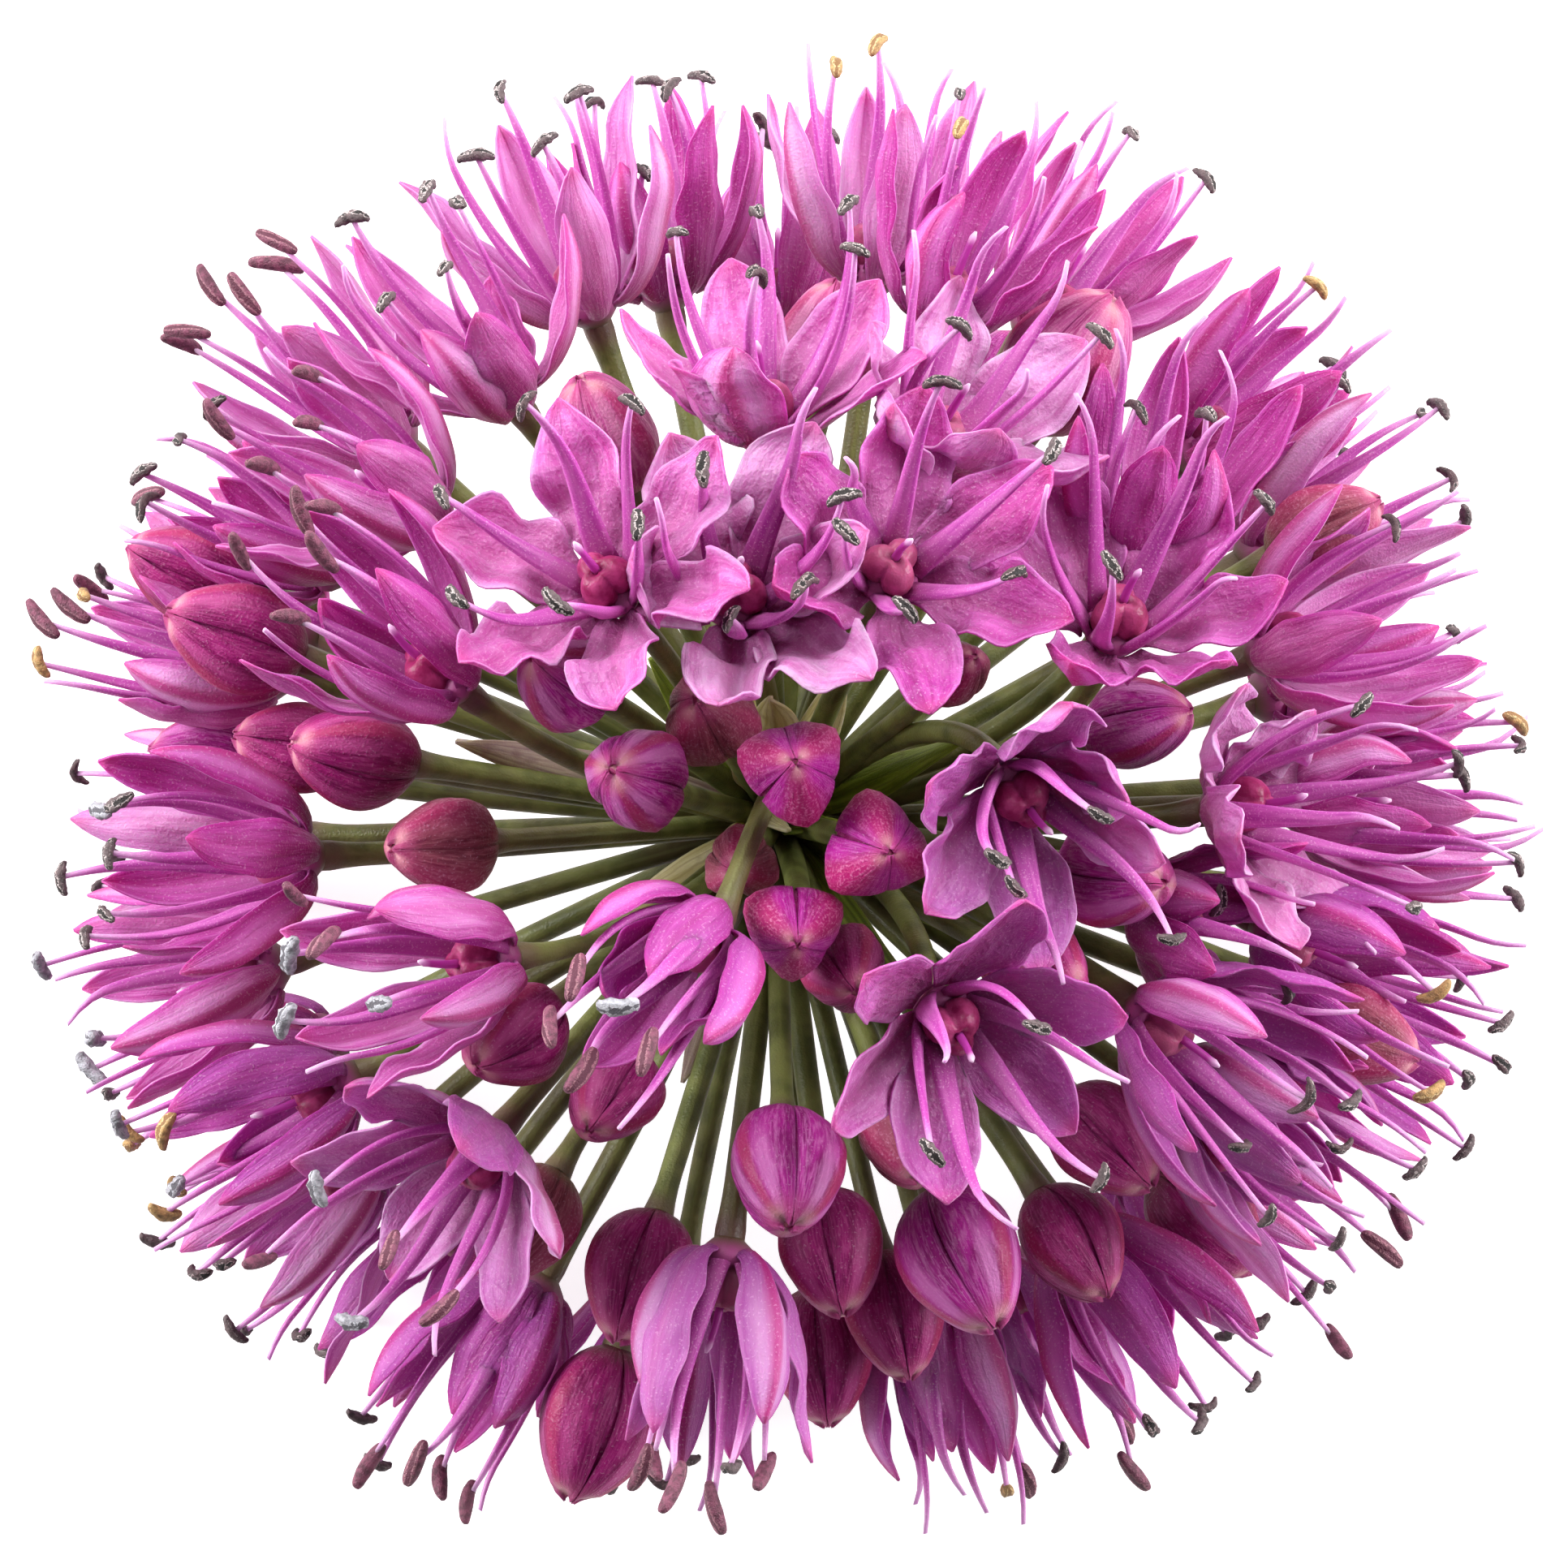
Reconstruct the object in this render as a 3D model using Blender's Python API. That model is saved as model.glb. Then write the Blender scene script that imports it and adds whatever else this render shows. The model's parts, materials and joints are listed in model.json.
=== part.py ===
"""Flower head of an ornamental onion, cut just under the head and set down on its lowest blooms.

Metres, +Z up. The surface that it rests on is z = 0, and the origin is under the middle of the
head's box. Every stalk starts at the hub, and the blooms face outwards round it.
"""

import math
import random

import bmesh
import bpy
from mathutils import Vector
from mathutils.bvhtree import BVHTree

MM = 0.001

# Driving dimensions, in millimetres
HUB_HEIGHT = 9.3
HUB_SHIFT_X, HUB_SHIFT_Y = -0.2, -1.2
HUB_RADIUS = 2.6
SCAPE_RADIUS = 1.5
SCAPE_LENGTH = 8.0
STALK_FOOT_RADIUS = 0.34
STALK_RADIUS = 0.42
STALK_TOP_RADIUS = 0.66
CUP_RADIUS = 1.08
BLOOM_ROOM = 1.95
STYLE_TOP = 4.4
TEPAL_FOOT = (0.97, 0.45)
FILAMENT_FOOT = (0.92, 0.95)
TEPAL_LENGTH = 6.6
TEPAL_WIDTH = 2.15
TEPAL_THICKNESS = 0.7
FILAMENT_LENGTH = 7.3
FILAMENT_WIDTH = 0.66
ANTHER_LENGTH = 1.5
ANTHER_WIDTH = 0.62
BUD_WIDTH = 3.3
BUD_LENGTH = 4.7
BRACT_FOOT = (1.0, 0.0)
GAP = 0.32
FLAT_SPOT_DEPTH = 0.3
NEIGHBOURHOOD = 21.0

# A foot above is a radius and a height on the cup. The arms leave it at these angles from the
# bloom's axis, in degrees, and turn to their own opening over this share of their length
TEPAL_START_ANGLE, FILAMENT_START_ANGLE, TURN_SHARE = 66, 30, 0.3
# A filament curls in by this much over its length, and a tepal by a share of how far it stays shut
FILAMENT_CURL, TEPAL_CURL_SHARE, TEPAL_CURL_MOST = -8, 0.7, -14
# The inner three tepals are longer and narrower than the outer three, and open less
INNER_LENGTH_SHARE, INNER_WIDTH_SHARE, INNER_TURN, OUTER_TURN = 1.06, 0.92, -3, 4
# Filaments open by a share of their bloom's opening, and stay inside their own tepal
FILAMENT_OPENING_SHARE, FILAMENT_INSIDE_SHARE = 0.42, 0.6
# What each arm differs by: opening in degrees, and length as a share
TEPAL_OPENING_RANGE, TEPAL_LENGTH_RANGE = (-5, 5), (0.93, 1.06)
FILAMENT_OPENING_RANGE, FILAMENT_LENGTH_RANGE = (-3, 6), (0.86, 1.06)
# What a bloom tries until an arm is clear: shares of its length, closings and swings in degrees
LENGTH_SHARES = (1.0, 0.86, 0.72, 0.6, 0.5)
CLOSINGS = (0, 5, 10, 16, 22, 28, 34, 42, 50)
SWINGS = (0, 9, -9, 18, -18)
LEAST_OPENING = 3.0
# Rounds and longest step of the easing that parts the flowers, and of the stalks' bowing
EASE_ROUNDS, EASE_STEP = 60, 0.15
BOW_ROUNDS, BOW_STEP = 14, 0.5
# Share of a stalk's reach over which it turns to its flower's own axis
STALK_TURN_SHARE = 0.34
# Middle of the hub, a little off the middle of the head because the head is lopsided
HUB = Vector((HUB_SHIFT_X, HUB_SHIFT_Y, HUB_HEIGHT))
# Half the width of a sixth of the flower, as a share of the radius, with a little air
SIXTH = 0.95 * math.tan(math.radians(30))
# Height and radius of the cup's bottom, its side, its rim and the top of the ovary
CORE = [(0.0, STALK_TOP_RADIUS), (0.8, CUP_RADIUS), (1.2, 0.78), (2.4, 0.5)]
# Height and width of a bud at its foot, its side and its shoulder, as shares of its length and width
BUD_PROFILE = [(0.14, 0.7), (0.45, 1.0), (0.79, 0.72)]
# Which filaments of a bloom get the first anthers
ANTHER_ORDER = [0, 3, 1, 4, 2, 5]
# A bloom that opens wider than this, in degrees, has shorter and broader tepals
WIDE_OPEN = 45
OPEN_LENGTH_SHARE = 0.8
OPEN_WIDTH_SHARE = 1.28
# Room that a bud keeps round its middle, as a share of its length
BUD_ROOM_SHARE = 0.4
SEED = 7

# Blooms: azimuth and polar angle of the stalk's top, its reach from the hub, how far the bloom turns
# and nods from the stalk's own direction, how wide it opens, its spin, and how many anthers it carries
BLOOMS = [
    (122, 28, 17.4, 7, 4, 60, 36, 6),
    (106, 25, 16.2, -18, 4, 58, 37, 4),
    (66, 29, 16.8, 0, -4, 60, 14, 5),
    (311, 27, 16.6, -4, 8, 50, 13, 3),
    (12, 27, 16.2, -70, 12, 46, 28, 4),
    (240, 13, 16.2, -16, 26, 19, 10, 5),
    (208, 36, 16.0, -22, 16, 24, 35, 5),
    (228, 53, 16.6, 2, 2, 46, 5, 5),
    (156, 38, 16.2, -14, 18, 20, 25, 5),
    (92, 45, 16.8, 0, 16, 48, 60, 5),
    (68, 46, 16.8, -6, 8, 50, 30, 2),
    (28, 45, 16.8, 45, -2, 54, 47, 2),
    (334, 50, 16.4, -10, 14, 29, 40, 4),
    (1, 56, 16.4, 6, 6, 54, 10, 3),
    (346, 69, 17.6, -14, 4, 33, 35, 2),
    (139, 60, 16.6, 10, -2, 29, 20, 4),
    (110, 86, 17.4, 0, -16, 30, 10, 4),
    (102, 97, 17.4, -2, -14, 28, 40, 5),
    (122, 70, 16.8, 4, -14, 33, 15, 5),
    (135, 90, 17.2, 4, -14, 27, 5, 6),
    (152, 78, 16.6, -2, -6, 27, 30, 4),
    (166, 82, 16.8, 0, 0, 24, 50, 5),
    (158, 106, 17.0, -2, 0, 25, 20, 2),
    (184, 70, 15.8, -2, -4, 26, 10, 6),
    (196, 90, 16.8, 0, -6, 25, 45, 3),
    (182, 108, 16.6, 0, 0, 25, 15, 3),
    (211, 76, 16.4, -6, 4, 22, 25, 5),
    (206, 108, 17.0, 2, 0, 25, 0, 4),
    (220, 92, 17.0, 2, 2, 25, 35, 5),
    (243, 84, 16.8, -4, 2, 21, 10, 5),
    (232, 108, 16.8, 0, 0, 23, 30, 5),
    (266, 55, 16.2, -4, 22, 19, 20, 6),
    (258, 107, 15.8, 2, 0, 23, 40, 4),
    (287, 84, 15.8, -6, 2, 14, 15, 1),
    (297, 96, 16.0, -2, 0, 21, 35, 4),
    (307, 80, 16.4, -2, 4, 25, 5, 4),
    (316, 108, 16.8, -2, 0, 23, 25, 4),
    (324, 76, 16.8, -2, 4, 25, 45, 4),
    (342, 90, 17.2, -6, -6, 29, 10, 4),
    (352, 106, 17.2, 0, 0, 27, 40, 4),
    (4, 84, 16.8, 0, 2, 27, 20, 1),
    (14, 105, 16.8, 2, 0, 27, 50, 1),
    (19, 72, 17.0, 4, -4, 31, 5, 1),
    (29, 90, 17.4, 2, 0, 27, 30, 4),
    (42, 86, 17.6, -4, -4, 25, 15, 2),
    (63, 88, 17.8, -8, -6, 27, 40, 2),
    (80, 89, 17.6, 6, -10, 28, 10, 3),
    (74, 66, 17.4, -4, 0, 27, 35, 1),
    (2, 70, 17.2, 0, 2, 26, 25, 3),
    (329, 64, 16.8, -4, 6, 28, 40, 3),
    (36, 57, 16.6, 40, 6, 30, 0, 2),
    (90, 106, 16.8, 0, 0, 23, 20, 3),
    (38, 108, 16.8, 0, 0, 23, 45, 3),
    (346, 55, 14.5, 0, 0, 34, 25, 2),
]

# Buds: azimuth and polar angle of the middle of the bud, its reach from the hub, its size, and its spin
BUDS = [
    (58, 66, 19.2, 1.16, 0),
    (81, 64, 17.6, 0.98, 20),
    (114, 55, 16.6, 1.0, 10),
    (161, 75, 18.8, 1.04, 30),
    (158, 83, 20.6, 0.9, 15),
    (171, 88, 18.4, 0.92, 40),
    (171, 62, 15.8, 0.98, 0),
    (184, 46, 15.0, 0.92, 25),
    (149, 32, 16.0, 0.96, 10),
    (159, 20, 14.6, 0.96, 35),
    (125, 19, 12.2, 0.9, 20),
    (69, 6, 16.0, 0.92, 5),
    (341, 11, 15.2, 0.94, 30),
    (284, 13, 14.8, 0.86, 15),
    (294, 23, 13.0, 0.8, 45),
    (229, 9, 11.6, 0.7, 20),
    (220, 44, 15.4, 0.92, 0),
    (237, 42, 15.2, 0.86, 25),
    (273, 43, 16.2, 1.08, 10),
    (279, 60, 16.4, 0.98, 35),
    (290, 44, 15.6, 0.86, 15),
    (294, 62, 17.2, 1.16, 40),
    (303, 66, 17.4, 0.94, 5),
    (314, 62, 17.0, 0.96, 30),
    (316, 85, 19.0, 0.98, 20),
    (333, 38, 15.6, 0.92, 10),
    (349, 40, 16.6, 1.0, 35),
    (15, 58, 14.2, 0.86, 0),
    (28, 78, 20.6, 0.9, 25),
    (341, 72, 20.2, 0.96, 15),
    (252, 66, 16.8, 1.02, 40),
    (253, 82, 20.8, 1.14, 10),
    (276, 82, 17.6, 1.0, 30),
    (239, 66, 16.8, 0.94, 20),
    (40, 31, 14.4, 0.62, 5),
    (169, 76, 17.0, 0.86, 35),
    (64, 106, 16.8, 0.9, 15),
    (283, 74, 17.2, 0.95, 25),
]

# Bracts at the hub and on the stalks: azimuth, polar angle, start, length, width, and nod in degrees
BRACTS = [
    (166, 76, 1.6, 10.5, 1.5, 10),
    (96, 44, 1.6, 6.5, 1.2, -8),
    (128, 66, 1.6, 7.5, 1.3, 14),
    (24, 60, 1.6, 8.0, 1.2, 12),
    (210, 62, 1.6, 6.0, 1.1, -10),
    (330, 80, 1.6, 8.5, 1.3, 12),
    (250, 84, 1.6, 8.0, 1.3, 10),
]


def direction(azimuth, polar):
    """Unit vector from an azimuth about +Z and a polar angle from +Z, in degrees."""
    a, p = math.radians(azimuth), math.radians(polar)
    return Vector((math.sin(p) * math.cos(a), math.sin(p) * math.sin(a), math.cos(p)))


def frame_of(axis, spin):
    """Two unit vectors across an axis, turned by the spin in degrees."""
    side = Vector((0, 0, 1)).cross(axis)
    side = side.normalized() if side.length > 0.05 else Vector((1, 0, 0))
    other = axis.cross(side)
    s = math.radians(spin)
    return side * math.cos(s) + other * math.sin(s), other * math.cos(s) - side * math.sin(s)


class Flower:
    """One bloom or bud: the place of its base, its axis and the space that it keeps to itself."""

    def __init__(self, base, axis, spin, opening=0.0, anthers=0, size=1.0, bud=False):
        self.base, self.axis, self.spin = base, axis, spin
        self.opening, self.anthers, self.size, self.bud = opening, anthers, size, bud
        self.across, self.along = frame_of(axis, spin)
        self.room = BUD_ROOM_SHARE * BUD_LENGTH * size if bud else BLOOM_ROOM
        wide = opening > WIDE_OPEN
        self.tepal_length = TEPAL_LENGTH * (OPEN_LENGTH_SHARE if wide else 1.0)
        self.tepal_width = TEPAL_WIDTH * (OPEN_WIDTH_SHARE if wide else 1.0)
        self.bow = Vector()

    def centre(self):
        return self.base + self.axis * (0.5 * BUD_LENGTH * self.size if self.bud else 1.3)

    def place(self, radius, angle, height):
        """Point at a radius and angle round the flower's axis, at a height over its base."""
        a = math.radians(angle)
        out = self.across * math.cos(a) + self.along * math.sin(a)
        return self.base + self.axis * height + out * radius


def flowers():
    """Blooms and buds where the two lists want them, eased apart until none stands in another."""
    found = []
    for azimuth, polar, reach, turn, nod, opening, spin, anthers in BLOOMS:
        axis = direction(azimuth + turn, polar + nod)
        found.append(Flower(HUB + direction(azimuth, polar) * reach, axis, spin, opening, anthers))
    for azimuth, polar, reach, size, spin in BUDS:
        axis = direction(azimuth, polar)
        base = HUB + axis * (reach - 0.5 * BUD_LENGTH * size)
        found.append(Flower(base, axis, spin, size=size, bud=True))
    for _ in range(EASE_ROUNDS):
        for i, one in enumerate(found):
            for other in found[:i]:
                apart = one.centre() - other.centre()
                lack = one.room + other.room + GAP - apart.length
                if lack > 0:
                    push = apart.normalized() * min(0.5 * lack, EASE_STEP)
                    one.base += push
                    other.base -= push
    return found


def stalk_path(flower, steps=8):
    """Middle line of a stalk, from inside the hub to just under its flower."""
    end = flower.base - flower.axis * (0.0 if flower.bud else GAP)
    reach = (end - HUB).length
    control = end - flower.axis * (STALK_TURN_SHARE * reach) + flower.bow
    start = HUB + (control - HUB).normalized() * (0.5 * HUB_RADIUS)
    points = []
    for i in range(steps + 1):
        t = i / steps
        points.append(start * (1 - t) ** 2 + control * (2 * t * (1 - t)) + end * t ** 2)
    return points


def bow_stalks(found):
    """Each stalk bows sideways round a flower that stands in its way."""
    for _ in range(BOW_ROUNDS):
        for one in found:
            for other in found:
                if other is one:
                    continue
                path = stalk_path(one)
                nearest = min(path[2:], key=lambda p: (p - other.centre()).length)
                lack = other.room + STALK_TOP_RADIUS + GAP - (nearest - other.centre()).length
                if lack > 0 and nearest is not path[-1]:
                    away = nearest - other.centre()
                    away -= one.axis * away.dot(one.axis)
                    one.bow += away.normalized() * min(lack, BOW_STEP)


def loft(rings, tip=None):
    """Closed mesh through rings of points, each with the same count, capped flat or with a tip."""
    bm = bmesh.new()
    rows = [[bm.verts.new(p * MM) for p in ring] for ring in rings]
    bm.faces.new(rows[0])
    if tip is None:
        bm.faces.new(rows[-1])
    for low, high in zip(rows, rows[1:]):
        bridge(bm, low, high)
    if tip is not None:
        fan(bm, rows[-1], bm.verts.new(tip * MM))
    bmesh.ops.recalc_face_normals(bm, faces=bm.faces)
    return bm


def bridge(bm, low, high):
    """Wall of triangles between two rings."""
    for i in range(len(low)):
        j = (i + 1) % len(low)
        bm.faces.new((low[i], low[j], high[j]))
        bm.faces.new((low[i], high[j], high[i]))


def fan(bm, ring, point):
    """Triangles from a ring to one point."""
    for i in range(len(ring)):
        bm.faces.new((ring[i], ring[(i + 1) % len(ring)], point))


def round_ring(middle, flower, radius, sides, margin=0.0):
    """Ring of points round a middle point, square to the flower's axis."""
    turns = [2 * math.pi * i / sides for i in range(sides)]
    out = [flower.across * math.cos(a) + flower.along * math.sin(a) for a in turns]
    return [middle + side * (radius + margin) for side in out]


def arm_path(foot, length, opening, start_angle, curl, steps=10):
    """Radius and height along a tepal or filament: it leaves the cup outwards, rises and curls."""
    radius, height = foot
    points = [foot]
    for i in range(steps):
        t = (i + 0.5) / steps
        angle = opening + (start_angle - opening) * max(0.0, 1 - t / TURN_SHARE) ** 2
        angle += curl * max(0.0, t - TURN_SHARE)
        angle = math.radians(angle)
        radius += math.sin(angle) * length / steps
        height += math.cos(angle) * length / steps
        points.append((radius, height))
    return points


def arm_rings(flower, angle, path, stations, margin=0.0):
    """Rings of four points along a path in the plane at an angle round the flower's axis.

    Each station is a place along the path, a half width and a thickness. A ring runs along its
    outer side first. No ring is wider than its sixth of the flower.
    """
    a = math.radians(angle)
    side = flower.along * math.cos(a) - flower.across * math.sin(a)
    rings = []
    for place, half, thick in stations:
        at = place * (len(path) - 1)
        i = min(int(at), len(path) - 2)
        (r0, h0), (r1, h1) = path[i], path[i + 1]
        radius, height = r0 + (r1 - r0) * (at - i), h0 + (h1 - h0) * (at - i)
        half = min(half, (radius - 0.5 * thick) * SIXTH) + margin
        out = flower.place(h1 - h0, angle, r0 - r1) - flower.base
        out *= (0.5 * thick + margin) / math.hypot(r1 - r0, h1 - h0)
        middle = flower.place(radius, angle, height)
        rings.append([middle - side * half + out, middle + side * half + out,
                      middle + side * half - out, middle - side * half - out])
    return rings


def tepal(flower, angle, inner, opening, length, margin=0.0):
    """Rings and tip of a tepal: the outer three are broader, the inner three longer."""
    length = length * (INNER_LENGTH_SHARE if inner else 1.0)
    curl = max((opening - WIDE_OPEN) * TEPAL_CURL_SHARE, TEPAL_CURL_MOST)
    path = arm_path(TEPAL_FOOT, length, opening, TEPAL_START_ANGLE, curl)
    half = 0.5 * flower.tepal_width * (INNER_WIDTH_SHARE if inner else 1.0)
    thick = TEPAL_THICKNESS
    stations = [(0.1, 0.4, thick), (0.45, half, thick), (0.8, 0.62 * half, thick)]
    return arm_rings(flower, angle, path, stations, margin), flower.place(path[-1][0], angle, path[-1][1])


def filament(flower, angle, anther, opening, length, margin=0.0):
    """Rings and tip of a tapering filament, with a swollen end where it carries an anther."""
    path = arm_path(FILAMENT_FOOT, length, opening, FILAMENT_START_ANGLE, FILAMENT_CURL)
    half = 0.5 * FILAMENT_WIDTH
    stations = [(0.06, half, FILAMENT_WIDTH)]
    if anther:
        neck = 1 - ANTHER_LENGTH / length
        stations += [(neck, 0.15, 0.3), (neck + 0.4 * (1 - neck), 0.5 * ANTHER_WIDTH, ANTHER_WIDTH)]
    return arm_rings(flower, angle, path, stations, margin), flower.place(path[-1][0], angle, path[-1][1])


def core(flower, margin=0.0):
    """Rings and tip of the bloom's middle: cup, rim, ovary, and the style as a spike."""
    rings = []
    for height, radius in CORE:
        middle = flower.base + flower.axis * (height if height else -margin)
        rings.append(round_ring(middle, flower, radius, 6, margin))
    return rings, flower.base + flower.axis * (STYLE_TOP + margin)


def bloom(flower, arms):
    """One closed mesh: tepals drawn out of the cup's six sides, and filaments out of its rim."""
    bm = bmesh.new()
    rings, tip = core(flower)
    bottom, cup, rim, ovary = [[bm.verts.new(p * MM) for p in ring] for ring in rings]
    bm.faces.new(bottom)
    bridge(bm, rim, ovary)
    fan(bm, ovary, bm.verts.new(tip * MM))
    for k in range(6):
        j = (k + 1) % 6
        for face, arm in (((bottom[k], bottom[j], cup[j], cup[k]), arms.get((tepal, k))),
                          ((cup[k], cup[j], rim[j], rim[k]), arms.get((filament, k)))):
            if arm is None:
                bm.faces.new(face[:3])
                bm.faces.new((face[0], face[2], face[3]))
                continue
            drawn, end = arm
            row = face
            for ring in drawn[1:]:
                low, row = row, [bm.verts.new(p * MM) for p in ring]
                bridge(bm, low, row)
            fan(bm, row, bm.verts.new(end * MM))
    bmesh.ops.recalc_face_normals(bm, faces=bm.faces)
    return bm


def stalk(flower, margin=0.0):
    """Stalk from the hub to its flower. A bud and its stalk are one mesh, folded to a blunt point."""
    path = stalk_path(flower)
    sides = 6 if flower.bud else 4
    radii = [(0, STALK_FOOT_RADIUS), (5, STALK_RADIUS), (8, STALK_RADIUS if flower.bud else STALK_TOP_RADIUS)]
    rings = [round_ring(path[i], flower, radius, sides, margin) for i, radius in radii]
    if not flower.bud:
        return loft(rings)
    size = flower.size
    for height, share in BUD_PROFILE:
        middle = flower.base + flower.axis * (height * BUD_LENGTH * size)
        rings.append(round_ring(middle, flower, 0.5 * BUD_WIDTH * size * share, sides, margin))
    return loft(rings, flower.base + flower.axis * (BUD_LENGTH * size + margin))


def bract(azimuth, polar, start, length, width, nod):
    """Dry or green bract, a narrow blade that grows from the hub between the stalks."""
    axis = direction(azimuth, polar)
    holder = Flower(HUB + axis * start, axis, 0)
    path = arm_path(BRACT_FOOT, length, nod, nod, nod)
    stations = [(0.0, 0.3, TEPAL_THICKNESS), (0.4, 0.5 * width, TEPAL_THICKNESS)]
    return loft(arm_rings(holder, 90, path, stations), holder.place(path[-1][0], 90, path[-1][1]))


def tree_of(bm):
    """Search tree over the faces of a mesh."""
    return BVHTree.FromBMesh(bm)


def is_clear(bm, near):
    """True if a mesh is over the surface and crosses none of its neighbours."""
    if min(v.co.z for v in bm.verts) < -FLAT_SPOT_DEPTH * MM:
        return False
    tree = tree_of(bm)
    return not any(tree.overlap(other) for other in near)


def arrange(found):
    """Arms of every bloom. Each opens as wide as it wants to, or less until it is clear of the rest."""
    margin = 0.5 * GAP
    fixed = []
    for flower in found:
        solids = [tree_of(stalk(flower, margin))]
        if not flower.bud:
            solids.append(tree_of(loft(*core(flower, margin))))
        fixed.append(solids)
    arms, trees = {}, {}
    draw = random.Random(SEED)
    for i, flower in enumerate(found):
        if flower.bud:
            continue
        arms[i], trees[i] = {}, []
        near = [j for j in range(len(found))
                if j != i and (found[j].centre() - flower.centre()).length < NEIGHBOURHOOD]
        near = [tree for j in near for tree in fixed[j] + trees.get(j, [])]
        widest = {}
        for make, k in [(tepal, k) for k in range(6)] + [(filament, k) for k in range(6)]:
            if make is tepal:
                kind = bool(k % 2)
                opening = flower.opening + (INNER_TURN if kind else OUTER_TURN)
                opening += draw.uniform(*TEPAL_OPENING_RANGE)
                length = flower.tepal_length * draw.uniform(*TEPAL_LENGTH_RANGE)
            else:
                kind = ANTHER_ORDER[k] < flower.anthers
                wanted = FILAMENT_OPENING_SHARE * flower.opening + draw.uniform(*FILAMENT_OPENING_RANGE)
                opening = min(wanted, FILAMENT_INSIDE_SHARE * widest.get(k, 90))
                length = FILAMENT_LENGTH * draw.uniform(*FILAMENT_LENGTH_RANGE)
            settled = settle(flower, make, k, kind, opening, length, near, arms[i])
            if settled:
                arms[i][make, k], tree, widest[k] = settled
                trees[i].append(tree)
    return arms


def settle(flower, make, k, kind, opening, length, near, own):
    """First clear pose of one arm, from the widest inwards, and shorter where that is not enough.

    It is clear of its neighbours by the gap, and crosses no arm of its own flower.
    """
    for share in LENGTH_SHARES:
        for close in CLOSINGS:
            for swing in SWINGS:
                tried = max(opening - close, LEAST_OPENING)
                pose = flower, 60 * k + 30 + swing, kind, tried, length * share
                wide = loft(*make(*pose, 0.5 * GAP))
                if not is_clear(wide, near):
                    continue
                arm = make(*pose)
                if not crosses_itself(bloom(flower, {**own, (make, k): arm})):
                    return arm, tree_of(wide), tried
    return None


def crosses_itself(bm):
    """True if two faces that share no corner cut each other."""
    tree = tree_of(bm)
    bm.faces.ensure_lookup_table()
    pairs = ((bm.faces[i].verts, bm.faces[j].verts) for i, j in tree.overlap(tree) if i < j)
    return any(not set(one) & set(other) for one, other in pairs)


def material(name, colour, roughness):
    """Principled material of one colour."""
    made = bpy.data.materials.new(name)
    made.use_nodes = True
    shader = made.node_tree.nodes["Principled BSDF"]
    shader.inputs["Base Color"].default_value = (*colour, 1)
    shader.inputs["Roughness"].default_value = roughness
    shader.inputs["Metallic"].default_value = 0.0
    made.diffuse_color = (*colour, 1)
    return made


def new_object(name, bm, collection):
    mesh = bpy.data.meshes.new(name)
    bm.to_mesh(mesh)
    bm.free()
    made = bpy.data.objects.new(name, mesh)
    collection.objects.link(made)
    return made


def fuse(name, body, pieces, head, surface):
    """One closed solid from a body and the pieces that grow from it."""
    group = bpy.data.collections.new(name + "_pieces")
    bpy.context.scene.collection.children.link(group)
    for i, bm in enumerate(pieces):
        new_object(f"{name}_piece_{i}", bm, group)
    whole = new_object(name, body, head)
    union = whole.modifiers.new("Grown together", "BOOLEAN")
    union.operation = "UNION"
    union.operand_type = "COLLECTION"
    union.collection = group
    union.solver = "MANIFOLD"
    bpy.context.view_layer.update()
    joined = bpy.data.meshes.new_from_object(whole.evaluated_get(bpy.context.evaluated_depsgraph_get()))
    whole.modifiers.clear()
    whole.data = joined
    joined.name = name
    for piece in list(group.objects):
        bpy.data.objects.remove(piece)
    bpy.data.collections.remove(group)
    tidy(joined)
    joined.materials.clear()
    joined.materials.append(surface)
    return whole


def rest(bm):
    """Cuts what dips under the surface flat, so the head rests on small flat spots."""
    cut = bmesh.ops.bisect_plane(bm, geom=bm.verts[:] + bm.edges[:] + bm.faces[:], plane_co=(0, 0, 0),
                                 plane_no=(0, 0, -1), clear_outer=True)
    edges = [item for item in cut["geom_cut"] if isinstance(item, bmesh.types.BMEdge)]
    bmesh.ops.holes_fill(bm, edges=edges)
    bmesh.ops.triangulate(bm, faces=bm.faces)
    return bm


def tidy(mesh):
    """Drops the crumbs and sealed pockets that the union leaves, and the slivers along its seams."""
    bm = bmesh.new()
    bm.from_mesh(mesh)
    bmesh.ops.remove_doubles(bm, verts=bm.verts, dist=0.001 * MM)
    bmesh.ops.triangulate(bm, faces=bm.faces)
    islands, seen = [], set()
    for start in bm.verts:
        if start in seen:
            continue
        island, queue = [], [start]
        seen.add(start)
        while queue:
            vert = queue.pop()
            island.append(vert)
            for edge in vert.link_edges:
                other = edge.other_vert(vert)
                if other not in seen:
                    seen.add(other)
                    queue.append(other)
        islands.append(island)
    islands.sort(key=len, reverse=True)
    for island in islands[1:]:
        bmesh.ops.delete(bm, geom=island, context="VERTS")
    bm.to_mesh(mesh)
    bm.free()


for old in list(bpy.data.objects):
    bpy.data.objects.remove(old)
head = bpy.data.collections.new("allium_flower_head")
bpy.context.scene.collection.children.link(head)

found = flowers()
bow_stalks(found)
arms = arrange(found)

green = material("stalk_green", (0.13, 0.17, 0.05), 0.5)
shades = [material("tepal_pink", (0.55, 0.13, 0.42), 0.5), material("tepal_lilac", (0.62, 0.2, 0.52), 0.5),
          material("tepal_magenta", (0.42, 0.06, 0.3), 0.5)]

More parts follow.
